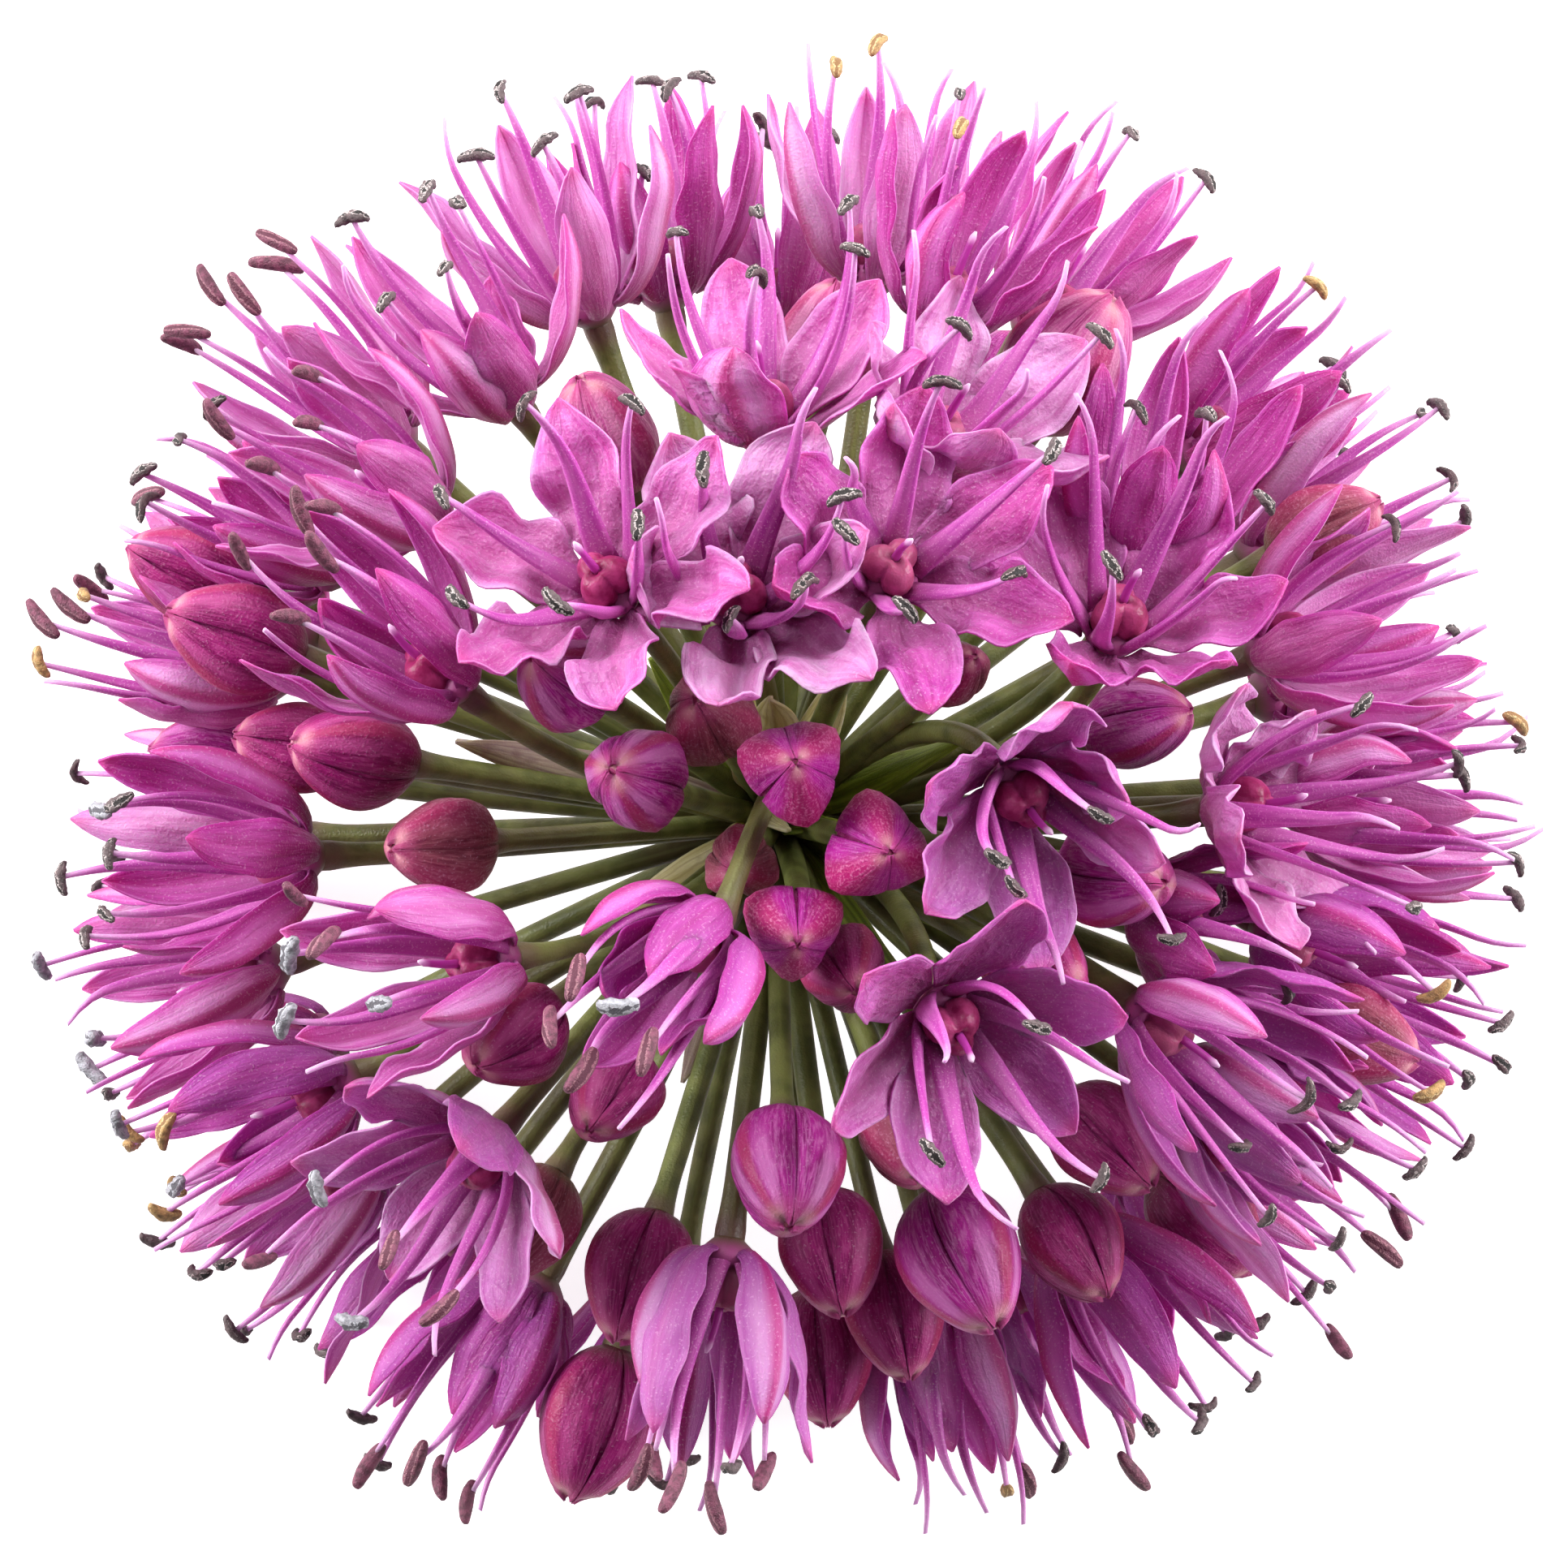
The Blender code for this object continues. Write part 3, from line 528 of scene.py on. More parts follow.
# Tepals, filaments and the middle of a floret. Three boat-shaped outer tepals with a keel and three
# flatter inner ones with wavy margins are sheets of thin silky tissue. Six filaments stand in front
# of them round a three-lobed ovary. All grow from one small cup.
FILAMENT_LENGTH = 7.3
ANTHER_ORDER = [0, 3, 1, 4, 2, 5]
# Radius and height at which tepals and filaments leave the cup, the angle to its axis at which they
# leave, the share of their length in which they rise from it, and how a filament curls inwards
TEPAL_FOOT, FILAMENT_FOOT = (0.97, 0.45), (0.92, 0.95)
TEPAL_START_ANGLE, FILAMENT_START_ANGLE, TURN_SHARE, FILAMENT_CURL = 66, 30, 0.3, -8
# Steps by which an arm of the solids gives way: shares of its length, degrees closed, degrees swung
LENGTH_SHARES = (1.0, 0.86, 0.72, 0.6, 0.5)
CLOSINGS = (0, 5, 10, 16, 22, 28, 34, 42, 50)
SWINGS = (0, 9, -9, 18, -18)
LEAST_OPENING = 3.0
SETTLE_SEED = 7
# Degrees that a tepal curls outwards for each degree that it opens past a face-on one, and the least
TEPAL_CURL_SHARE, LEAST_CURL = 0.7, -14
INNER_LENGTH_SHARE, INNER_TURN, OUTER_TURN = 1.06, -3, 4
TEPAL_OPENING_RANGE, TEPAL_LENGTH_RANGE = (-5, 5), (0.93, 1.06)
FILAMENT_OPENING_SHARE, FILAMENT_INSIDE_SHARE = 0.42, 0.6
FILAMENT_OPENING_RANGE, FILAMENT_LENGTH_RANGE = (-3, 6), (0.86, 1.06)
# How near a corner of the solid a tip has to be, and how an arm that the solid leaves out is drawn
CORNER_NEAR, ADDED_CLOSING, ADDED_LENGTH_SHARE = 0.005, 12, 0.8
TEPAL_ROWS, TEPAL_COLUMNS, TEPAL_THICKNESS, TEPAL_EDGE = 20, 13, 0.14, 0.03
FILAMENT_ROWS, FILAMENT_SIDES = 15, 8
ANTHER_FILAMENT_SHARE = 0.96
# Outer and inner tepals: how blunt the tip is, depth of the boat as a share of its half width, how
# round the boat is, range of the hood over the tip, depths of keel and belly
OUTER_SHAPE, INNER_SHAPE = (2.5, 0.72, 1.4, (0.1, 0.7), 0.08, 0.5), (2.8, 0.38, 1.8, (-0.45, 0.5), 0.02, 0.3)
# Range for the start of a wave, in radians
PHASES = (0, 6.28)
# Florets that lean further than this towards -Y, the low side of the head, get painted shade: their tepals
# are painted a deeper violet
LOW_SIDE = -0.35


def arm_path(foot, length, opening, start_angle, curl, steps=10):
    """Radius and height along a tepal or filament: it leaves the cup outwards, rises and curls."""
    radius, height = foot
    points = [foot]
    for i in range(steps):
        t = (i + 0.5) / steps
        angle = opening + (start_angle - opening) * max(0.0, 1 - t / TURN_SHARE) ** 2
        angle += curl * max(0.0, t - TURN_SHARE)
        angle = math.radians(angle)
        radius += math.sin(angle) * length / steps
        height += math.cos(angle) * length / steps
        points.append((radius, height))
    return points


def arm_angle(k):
    """Angle round the flower's axis, in degrees, of a tepal or filament with this number."""
    return 60 * k + 30


def tepal_path(inner, opening, length, steps=10):
    curl = max((opening - WIDE_OPEN) * TEPAL_CURL_SHARE, LEAST_CURL)
    length *= INNER_LENGTH_SHARE if inner else 1.0
    return arm_path(TEPAL_FOOT, length, opening, TEPAL_START_ANGLE, curl, steps)


def filament_path(opening, length, steps=10):
    return arm_path(FILAMENT_FOOT, length, opening, FILAMENT_START_ANGLE, FILAMENT_CURL, steps)


def settled(flower, tepal, k, kind, opening, length, corners):
    """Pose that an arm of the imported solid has: the first on the ladder whose tip is a corner of it."""
    for share in LENGTH_SHARES:
        for close in CLOSINGS:
            tried = max(opening - close, LEAST_OPENING)
            tip = tepal_path(kind, tried, length * share) if tepal else filament_path(tried, length * share)
            radius, height = tip[-1]
            for swing in SWINGS:
                angle = arm_angle(k) + swing
                if corners.find(flower.place(radius, angle, height))[2] < CORNER_NEAR:
                    return angle, tried, length * share
    return None


def poses(flower, draw, corners):
    """Poses of a bloom's tepals and filaments, read back from its solid, with those it leaves out."""
    found, widest = [], {}
    for tepal, k in [(True, k) for k in range(6)] + [(False, k) for k in range(6)]:
        if tepal:
            kind = bool(k % 2)
            opening = flower.opening + draw.uniform(*TEPAL_OPENING_RANGE)
            opening += INNER_TURN if kind else OUTER_TURN
            length = flower.tepal_length * draw.uniform(*TEPAL_LENGTH_RANGE)
        else:
            kind = ANTHER_ORDER[k] < flower.anthers
            opening = FILAMENT_OPENING_SHARE * flower.opening + draw.uniform(*FILAMENT_OPENING_RANGE)
            opening = min(opening, FILAMENT_INSIDE_SHARE * widest.get(k, 90))
            length = FILAMENT_LENGTH * draw.uniform(*FILAMENT_LENGTH_RANGE)
        pose = settled(flower, tepal, k, kind, opening, length, corners)
        if pose:
            widest[k] = pose[1]
        added = arm_angle(k), max(opening - ADDED_CLOSING, LEAST_OPENING), ADDED_LENGTH_SHARE * length
        found.append((tepal, k, kind, *(pose or added)))
    return found


def sheet(points, thickness):
    """Vertices and faces of a closed thin sheet round a grid of points, top side first."""
    rows, columns = points.shape[:2]
    normal = np.cross(np.gradient(points, axis=0), np.gradient(points, axis=1))
    normal /= np.linalg.norm(normal, axis=2, keepdims=True) + 1e-9
    half = 0.5 * thickness[..., None] * normal
    verts = np.concatenate([(points + half).reshape(-1, 3), (points - half).reshape(-1, 3)])
    index = np.arange(rows * columns).reshape(rows, columns)
    a, b, c, d = index[:-1, :-1], index[1:, :-1], index[1:, 1:], index[:-1, 1:]
    top = np.stack([a, b, c, d], axis=-1).reshape(-1, 4)
    under = np.stack([a, d, c, b], axis=-1).reshape(-1, 4) + rows * columns
    rim = np.concatenate([index[:, 0], index[-1, 1:], index[-2::-1, -1], index[0, -2:0:-1]])
    after = np.roll(rim, -1)
    edge = np.stack([after, rim, rim + rows * columns, after + rows * columns], axis=-1)
    return verts, np.concatenate([top, under, edge]).tolist()


def twice(marks):
    """Marks of a grid for both sides of a sheet, with a mark for its back."""
    both = {name: np.concatenate([value.ravel(), value.ravel()]) for name, value in marks.items()}
    return {**both, "back": np.repeat([0.0, 1.0], len(both["along"]) // 2)}


def arm_frame(flower, path, angle):
    """Middle line of an arm as points, the direction towards the axis at each, and the one across it."""
    centre = np.array([flower.place(r, angle, h) for r, h in path])
    a = math.radians(angle)
    side = np.array(flower.along * math.cos(a) - flower.across * math.sin(a))
    inward = np.cross(np.gradient(centre, axis=0), side)
    return centre, inward / np.linalg.norm(inward, axis=1, keepdims=True), side


def blade_grid(rows, columns):
    """Place along a blade, from 0 to 1, and across it, from -1 to 1, closer at its margins."""
    return np.linspace(0, 1, rows)[:, None], np.sin(np.linspace(-1, 1, columns) * math.pi / 2)[None, :]


def twisted(x, z, twist):
    """Place across and over a blade when it is turned about its middle line."""
    return x * np.cos(twist) - z * np.sin(twist), x * np.sin(twist) + z * np.cos(twist)


def laid(centre, side, inward, x, z):
    """Points at places across and over a middle line."""
    return centre[:, None] + side * x[..., None] + inward[:, None] * z[..., None]


def add_tepal(skin, flower, inner, angle, opening, length, draw, ruffle):
    """One tepal on its path: a pointed boat. The outer ones fold along a keel, the inner ones wave."""
    wide = flower.wide
    blunt, depth, rounding, hoods, keel_depth, belly_depth = INNER_SHAPE if inner else OUTER_SHAPE
    centre, inward, side = arm_frame(flower, tepal_path(inner, opening, length, TEPAL_ROWS - 1), angle)
    s, w = blade_grid(TEPAL_ROWS, TEPAL_COLUMNS)
    arch = np.sin(math.pi * s)
    rise = np.sin(0.5 * math.pi * np.clip(s / 0.45, 0, 1)) ** 1.4
    fall = 1 - 0.98 * np.clip((s - 0.4) / 0.6, 0, 1) ** (blunt + (0.5 if wide else 0.0))
    share = 0.54 if wide else 0.45
    half = share * flower.tepal_width * draw.uniform(0.9, 1.06) * (0.36 + 0.64 * rise) * fall ** 0.85
    frayed = np.sin(8 * s + draw.uniform(*PHASES) + 1.7 * np.sign(w))
    frayed = frayed + np.sin(15 * s + draw.uniform(*PHASES) + w)
    half = half * (1 + 0.14 * ruffle * frayed * np.abs(w) * arch)
    boat = depth * (0.6 if wide else 1.0) * draw.uniform(0.8, 1.2)
    fold = boat * half * np.abs(w) ** rounding
    hood = draw.uniform(*hoods) * np.clip((s - 0.7) / 0.3, 0, 1) ** 2
    phase, beat = draw.uniform(*PHASES), draw.uniform(1.8, 3.2)
    wave = np.sin(2 * math.pi * beat * s + phase + 2.2 * np.sign(w)) * np.abs(w) ** 2.2 * arch ** 0.7
    shift, tilt = draw.uniform(*PHASES), draw.uniform(-1.2, 1.2)
    crumple = np.sin(7.5 * s + tilt * w + shift) * np.sin(2.6 * w + 4.0 * s + 2 * shift)
    crumple = crumple + 0.5 * np.sin(13 * s + 3.1 * w + phase) * np.sin(4.7 * w - 5 * s + shift)
    crumple = crumple * arch ** 0.7
    ripple = 0.016 * np.cos(5 * math.pi * w) * arch
    keel = -keel_depth * np.exp(-(w / 0.16) ** 2) * arch ** 0.5
    belly = -belly_depth * (0.3 if wide else 1.0) * arch
    waves = (ruffle if inner or wide else 0.5 * ruffle) * (0.8 * wave + 0.75 * crumple)
    lift = fold + hood + waves + ripple + keel + belly
    twist = math.radians(draw.uniform(-22, 22)) * s
    x, z = twisted(half * w, lift, twist)
    x = x + draw.uniform(-0.45, 0.45) * arch * s
    thick = TEPAL_THICKNESS * (1 - 0.6 * np.abs(w) ** 3) * (1 - 0.4 * s) + TEPAL_EDGE
    # On the low side of the head the tint is drawn high: painted shade, which paints the tepals a deeper
    # violet
    tint = draw.uniform(0.0, 0.75) if flower.axis.y > LOW_SIDE else draw.uniform(0.7, 1.0)
    skin.add(*sheet(laid(centre, side, inward, x, z), thick), 0, tint=tint, keel=0.2 if inner else 1.0,
             glass=0.8 if wide else 0.2, **twice(grid_marks(TEPAL_ROWS, TEPAL_COLUMNS)))


def add_filament(skin, flower, broad_one, anther, angle, opening, length, draw):
    """One filament: a strap at its foot, a thread at its tip. Gives the tip and the way that it points."""
    path = filament_path(opening, length * (ANTHER_FILAMENT_SHARE if anther else 1.0), FILAMENT_ROWS - 1)
    centre, inward, side = arm_frame(flower, path, angle)
    s = np.linspace(0, 1, FILAMENT_ROWS)[:, None]
    centre = centre + side * np.sin(math.pi * s) * s * draw.uniform(-0.7, 0.7)
    centre = centre + inward * np.sin(math.pi * s) * draw.uniform(-0.5, 0.15)
    if not anther:
        hook = np.clip((s - 0.75) / 0.25, 0, 1) ** 2
        centre = centre + side * hook * draw.uniform(-0.7, 0.7) + inward * hook * draw.uniform(-0.5, 0.5)
    broad = 0.08 + (0.42 if broad_one else 0.34) * (1 - s) ** 1.05
    deep = 0.08 + 0.12 * (1 - s)
    turns = np.linspace(0, 2 * math.pi, FILAMENT_SIDES, endpoint=False)[None, :]
    rings = laid(centre, side, inward, np.cos(turns) * broad, np.sin(turns) * deep)
    skin.add(*tube(rings), 1, tint=draw.random(), **grid_marks(FILAMENT_ROWS, FILAMENT_SIDES))
    return centre[-1], centre[-1] - centre[-3]


LOBE_OFF, LOBE_RADIUS, OVARY_SIDES = 0.47, 0.52, 30
STYLE_RADIUS, STYLE_LENGTH, STYLE_FOOT, STYLE_ROWS, STYLE_SIDES = 0.15, 1.7, 2.1, 9, 8


def lobed(angle):
    """Radius at an angle, in radians, of three round lobes side by side."""
    near = (angle + math.pi / 3) % (2 * math.pi / 3) - math.pi / 3
    return LOBE_OFF * math.cos(near) + math.sqrt(LOBE_RADIUS ** 2 - (LOBE_OFF * math.sin(near)) ** 2)


def add_middle(skin, flower, draw):
    """Receptacle, three-lobed ovary and style with its pale tip."""
    cup = [(0.4, -0.05, 0), (0.56, 0.08, 0), (0.84, 0.35, 1), (0.98, 0.65, 1), (0.9, 0.95, 1),
           (0.5, 1.05, 0)]
    skin.add(*tube(turned(flower, cup, 18, lobes=6, depth=0.05)), 2, **grid_marks(6, 18))
    angles = np.arange(OVARY_SIDES) * 2 * math.pi / OVARY_SIDES
    rings = []
    for share, height in ((0.5, 0.8), (0.8, 0.95), (0.97, 1.25), (1.0, 1.55), (0.95, 1.85), (0.8, 2.12),
                          (0.58, 2.3), (0.34, 2.3), (0.14, 2.14)):
        rings.append([flower.place(share * lobed(a), math.degrees(a), height) for a in angles])
    skin.add(*tube(rings), 3, tint=draw.random(), **grid_marks(9, OVARY_SIDES))
    lean = (flower.across * draw.uniform(-1, 1) + flower.along * draw.uniform(-1, 1)) * 0.25
    rings = []
    for i in range(STYLE_ROWS):
        t = i / (STYLE_ROWS - 1)
        radius = STYLE_RADIUS - 0.05 * t + (0.02 if i == 7 else 0) - (0.05 if i == 8 else 0)
        ring = turned(flower, [(radius, STYLE_FOOT + STYLE_LENGTH * t, 0)], STYLE_SIDES)[0]
        rings.append([p + lean * t * t for p in ring])
    skin.add(*tube(rings), 4, **grid_marks(STYLE_ROWS, STYLE_SIDES))


# Veins of a blade: fine lines along it, streaks and silk, and how far a point lies off its middle
veins, given, result = shader_group("Veins of a tepal", {"Count": 7.0},
                                    ("Lines", "Off middle", "Streaks", "Silk"))
across, along, tint = mark(veins, "across"), mark(veins, "along"), mark(veins, "tint")


def stretched(wide, long, detail):
    """Noise drawn out along the blade, with its counts across and along."""
    where = node(veins, "ShaderNodeCombineXYZ", {"X": product(across, wide), "Y": product(along, long),
                                                 "Z": product(tint, 40.0)}).outputs[0]
    return node(veins, "ShaderNodeTexNoise", {"Vector": where, "Scale": 1.0, "Detail": detail,
                                              "Roughness": 0.6}).outputs["Fac"]


streaks, silk = stretched(7.0, 2.2, 4.0), stretched(46.0, 9.0, 2.0)
shifted = maths("ADD", across, product(stretched(2.0, 4.0, 2.0), 0.16))
ridge = maths("SINE", product(shifted, given["Count"], 2 * math.pi))
off = product(maths("ABSOLUTE", maths("SUBTRACT", across, 0.5)), 2.0)
fine = ramp(ridge, 0.3, 1.0)
for label, value in (("Lines", fine), ("Off middle", off), ("Streaks", streaks), ("Silk", silk)):
    veins.links.new(value, result[label])


def veined(tree):
    """Outputs of the vein group, placed in a material."""
    made = tree.nodes.new("ShaderNodeGroup")
    made.node_tree = veins
    return made.outputs


# Colours that all tepals share: two tints, the painted shade of the low side, tissue that looks wet through,
# the keel, the tip and the pale specks of cells and pollen, partly painted glints
VIOLET, WARM_PINK, LOW_SIDE_SHADE = (0.4, 0.085, 0.4), (0.64, 0.07, 0.33), (0.38, 0.06, 0.33)
GLASSY, KEEL_RED, TIP_RED, SPECK_AND_GLINT = (0.4, 0.11, 0.29), (0.43, 0.02, 0.19), (0.6, 0.06, 0.26), (0.9, 0.6, 0.84)


def tepal_material(name, light, body, deep, rim):
    """Tissue of a tepal: silky, deep at its foot, pale inside the cup, rimmed and red-keeled outside."""
    made, tree, shader = new_material(name, 0.42, 0.4, (1.0, 0.3, 0.75), specular=0.22)
    cells, lines = grained(tree, 0.9, 0.085)[1], veined(tree)
    off, streaks, silk = (lines[label] for label in ("Off middle", "Streaks", "Silk"))
    along, keel, back = mark(tree, "along"), mark(tree, "keel"), mark(tree, "back")
    tint, glass = mark(tree, "tint"), mark(tree, "glass")
    inside, clear = maths("SUBTRACT", 1.0, back), maths("SUBTRACT", 1.0, glass)
    uneven = maths("ADD", along, product(maths("SUBTRACT", streaks, 0.5), 0.5))
    creases = maths("ABSOLUTE", maths("SUBTRACT", grained(tree, 0.9, 0.1)[0], 0.5))
    crease_highlight = product(ramp(creases, 0.035, 0.0), glass, glass)
    edge = maths("ADD", off, product(maths("SUBTRACT", streaks, 0.5), 0.4))
    margin = product(ramp(edge, 0.55, 1.0), ramp(along, 0.05, 0.4), 0.8)
    outside = product(keel, maths("ADD", product(back, 0.75), 0.25))
    rib = product(ramp(maths("ADD", off, product(streaks, 0.16)), 0.33, 0.12), outside, 0.8)
    colour = layered(
        mixed(ramp(along, 0.0, 0.5), deep, body),
        (ramp(streaks, 0.6, 0.34, 0.0, 0.5), deep),
        (ramp(streaks, 0.5, 0.75, 0.0, 0.4), light),
        # A high tint paints violet: at random on most florets, and as painted shade on those of the low side
        (ramp(tint, 0.65, 0.95, 0.0, 0.7), VIOLET),
        (ramp(tint, 0.35, 0.0, 0.0, 0.3), WARM_PINK),
        # Painted sheen: lighter along the silky streaks
        (ramp(silk, 0.45, 0.75, 0.0, 0.3), light),
        (product(ramp(along, 0.6, 0.1), inside, clear, 0.7), light),
        (product(ramp(uneven, 0.78, 0.2), product(inside, glass)), GLASSY),
        (product(lines["Lines"], 0.18), deep),
        # Painted highlight along the crumple ridges of the face-on florets
        (product(crease_highlight, 0.26), light),
        # Pale margins on the front: partly their own colour, partly a painted highlight; on the back they
        # take the rim colour
        (margin, mixed(back, light, rim)),
        (product(ramp(off, 0.62, 0.3), outside, ramp(along, 0.1, 0.5), 0.72), light),
        # Painted shade of the low side: a deeper violet over the tepals with the highest tints
        (ramp(tint, 0.7, 0.95, 0.0, 0.42), LOW_SIDE_SHADE),
        (rib, KEEL_RED),
        (product(ramp(along, 0.86, 1.0), 0.55), TIP_RED),
        # Pale specks on the cells: partly pollen, partly painted glints
        (product(ramp(cells, 0.6, 0.72), 0.26), SPECK_AND_GLINT))
    height = maths("ADD", maths("ADD", cells, silk), product(lines["Lines"], -0.4))
    height = maths("ADD", height, product(creases, glass, -12.0))
    finished(shader, colour, height, 0.05, roughness=ramp(silk, 0.3, 0.7, 0.5, 0.3))
    return made


tepal_looks = {
    "tepal_pink": tepal_material(
        "Tepal pink", (0.79, 0.39, 0.7), (0.58, 0.13, 0.44), (0.4, 0.018, 0.23), (0.56, 0.06, 0.37)),
    "tepal_lilac": tepal_material(
        "Tepal lilac", (0.82, 0.5, 0.76), (0.68, 0.28, 0.58), (0.43, 0.05, 0.29), (0.72, 0.28, 0.6)),
    "tepal_magenta": tepal_material(
        "Tepal magenta", (0.71, 0.22, 0.59), (0.46, 0.05, 0.33), (0.25, 0.004, 0.13), (0.42, 0.025, 0.24)),
}

filament_skin, tree, shader = new_material("Filament", 0.38, 0.4, (1.0, 0.35, 0.9), specular=0.3)
cells, along = grained(tree, 0.5, 0.07)[1], mark(tree, "along")
violet = layered(
    mixed(ramp(veined(tree)["Streaks"], 0.3, 0.7), (0.4, 0.045, 0.32), (0.62, 0.17, 0.5)),
    (ramp(mark(tree, "tint"), 0.4, 1.0, 0.0, 0.5), (0.5, 0.07, 0.38)),
    (ramp(along, 0.3, 0.0, 0.0, 0.5), (0.36, 0.07, 0.22)),
    (ramp(along, 0.7, 1.0, 0.0, 0.7), (0.82, 0.52, 0.76)),
    # Pale specks on the cells: painted glints
    (product(ramp(cells, 0.58, 0.72), 0.35), (0.9, 0.6, 0.82)))
finished(shader, violet, cells, 0.03)

cup_skin, tree, shader = new_material("Receptacle", 0.45, 0.25, (1.0, 0.5, 0.6))
cup_colour = mixed(ramp(mark(tree, "along"), 0.1, 0.6), (0.15, 0.1, 0.05), (0.42, 0.08, 0.26))
finished(shader, cup_colour, grained(tree, 0.5, 0.06)[1], 0.02)

ovary_skin, tree, shader = new_material("Ovary", 0.36, 0.3, (1.0, 0.25, 0.4), specular=0.35)
blotches, cells = grained(tree, 0.5, 0.08)
red = layered(
    mixed(ramp(blotches, 0.35, 0.7), (0.25, 0.01, 0.08), (0.46, 0.06, 0.2)),
    (product(ramp(mark(tree, "tint"), 0.5, 1.0), 0.5), (0.52, 0.16, 0.27)))
finished(shader, red, cells, 0.03)

style_skin, tree, shader = new_material("Style", 0.35, 0.4, (1.0, 0.5, 0.9))
style_colour = mixed(ramp(mark(tree, "along"), 0.7, 0.95), (0.46, 0.05, 0.36), (0.78, 0.5, 0.72))
finished(shader, style_colour, grained(tree, 0.3, 0.05)[1], 0.01)

# Anthers. Each is hung by its middle on a filament: grey and split open, curled, pale with pollen,
# plum-brown and still closed, or dried tan. One tree sets them on the filaments' tips.
ANTHER_ROWS = 14


def anther_mesh(name, material, length, width, bend, groove, rough, seed):
    """Bean with a slit along it, bent and shrunken a little, in millimetres round its middle."""
    draw = np.random.default_rng(seed)
    rows = sides = ANTHER_ROWS
    turns = np.linspace(0, 2 * math.pi, sides, endpoint=False)
    slit = np.exp(-((turns - 0.5 * math.pi) / 0.42) ** 2)
    slit = slit + 0.4 * np.exp(-((turns - 1.5 * math.pi) / 0.3) ** 2)
    twist, slump = draw.uniform(-0.5, 0.5), draw.uniform(-0.12, 0.12)
    rings = []
    for a in np.linspace(0, math.pi, rows):
        girth = 0.5 * width * max(math.sin(a), 0.02) ** 0.6 * (1 + rough * draw.uniform(-0.6, 0.6))
        radius = girth * (1 - groove * slit) * (1 + rough * draw.uniform(-1, 1, sides))
        x = -0.5 * length * math.cos(a)
        u = 2 * x / length
        turned_by = turns + twist * u
        ring = np.stack([np.full(sides, x), radius * np.cos(turned_by) + slump * u * u,
                         radius * np.sin(turned_by) - bend * u * u], axis=-1)
        rings.append(ring)
    bean = Skin()
    bean.add(*tube(rings), 0, **grid_marks(rows, sides))
    return bean.mesh(name, [material], floor=None)


def anther_material(name, skin, inside, edge, ragged):
    """Wall of an anther, darker inside its slit, with a pale line where the wall rolls back."""
    made, tree, shader = new_material(name, 0.6, 0.05)
    blotches, cells = grained(tree, 0.22, 0.055)
    gap = maths("ABSOLUTE", maths("SUBTRACT", mark(tree, "across"), 0.25))
    gap = maths("ADD", gap, product(maths("SUBTRACT", blotches, 0.5), ragged))
    wall = layered(
        mixed(ramp(blotches, 0.35, 0.65), tuple(0.45 * c for c in skin), skin),
        (product(ramp(gap, 0.15, 0.11), ramp(cells, 0.35, 0.6)), edge),
        (ramp(gap, 0.085, 0.06), inside))
    finished(shader, wall, maths("ADD", cells, blotches), 0.07)
    return made


def models_on(tree, points, given):
    """Models on points, each with the number, facing and size that its point is marked with."""
    choice = node(tree, "GeometryNodeCollectionInfo",
                  {"Collection": given["Models"], "Separate Children": True, "Reset Children": True})
    facing = node(tree, "FunctionNodeEulerToRotation", {"Euler": named(tree, "facing", "FLOAT_VECTOR")})
    standing = node(tree, "GeometryNodeInstanceOnPoints",
                    {"Points": points, "Instance": choice.outputs[0], "Pick Instance": True,
                     "Instance Index": named(tree, "look", "INT"), "Rotation": facing.outputs[0],
                     "Scale": maths("MULTIPLY", named(tree, "size"), given["Size"])})
    return node(tree, "GeometryNodeRealizeInstances", {"Geometry": standing.outputs[0]}).outputs[0]


def mark_points(mesh, start, rows):
    """Marks points from a number on with a model's size, its number and the three axes that it turns to."""
    for label, kind in (("size", "FLOAT"), ("look", "INT"), ("facing", "FLOAT_VECTOR")):
        mesh.attributes.new(label, kind, "POINT")
    for i, (size, look, axes) in enumerate(rows, start):
        mesh.attributes["size"].data[i].value = size
        mesh.attributes["look"].data[i].value = look
        mesh.attributes["facing"].data[i].vector = Matrix(axes).transposed().to_euler()


def shelf_of(name, meshes):
    """Collection of models for a tree to pick from, in the order of their names."""
    shelf = bpy.data.collections.new(name)
    for mesh in meshes:
        shelf.objects.link(bpy.data.objects.new(mesh.name, mesh))
    return shelf


def clear(shelf):
    """Takes the models away when they have all been set."""
    for model in list(shelf.objects):
        bpy.data.objects.remove(model)
    bpy.data.collections.remove(shelf)


# Colours of the wall, the slit and the rolled edge with its raggedness; then length, width, bend,
# depth of the slit and roughness
anther_looks = [
    ("grey", ((0.15, 0.105, 0.11), (0.016, 0.01, 0.01), (0.62, 0.53, 0.52), 0.5),
     (1.15, 0.4, 0.16, 0.5, 0.14)),
    ("curled", ((0.11, 0.06, 0.068), (0.012, 0.008, 0.009), (0.46, 0.36, 0.36), 0.6),
     (1.3, 0.38, 0.36, 0.5, 0.16)),
    ("pollen", ((0.5, 0.49, 0.54), (0.13, 0.12, 0.14), (0.62, 0.6, 0.66), 0.4),
     (1.3, 0.54, 0.1, 0.35, 0.2)),
    ("plum", ((0.26, 0.075, 0.13), (0.11, 0.02, 0.045), (0.4, 0.18, 0.22), 0.12),
     (1.75, 0.54, 0.08, 0.3, 0.03)),
    ("tan", ((0.6, 0.36, 0.14), (0.28, 0.14, 0.05), (0.74, 0.54, 0.28), 0.3),
     (1.25, 0.46, 0.18, 0.35, 0.08)),
]
models = shelf_of("anther_models", [
    anther_mesh(f"anther_{i}_{look}", anther_material("Anther " + look, *colours), *shape, seed=i)
    for i, (look, colours, shape) in enumerate(anther_looks)])

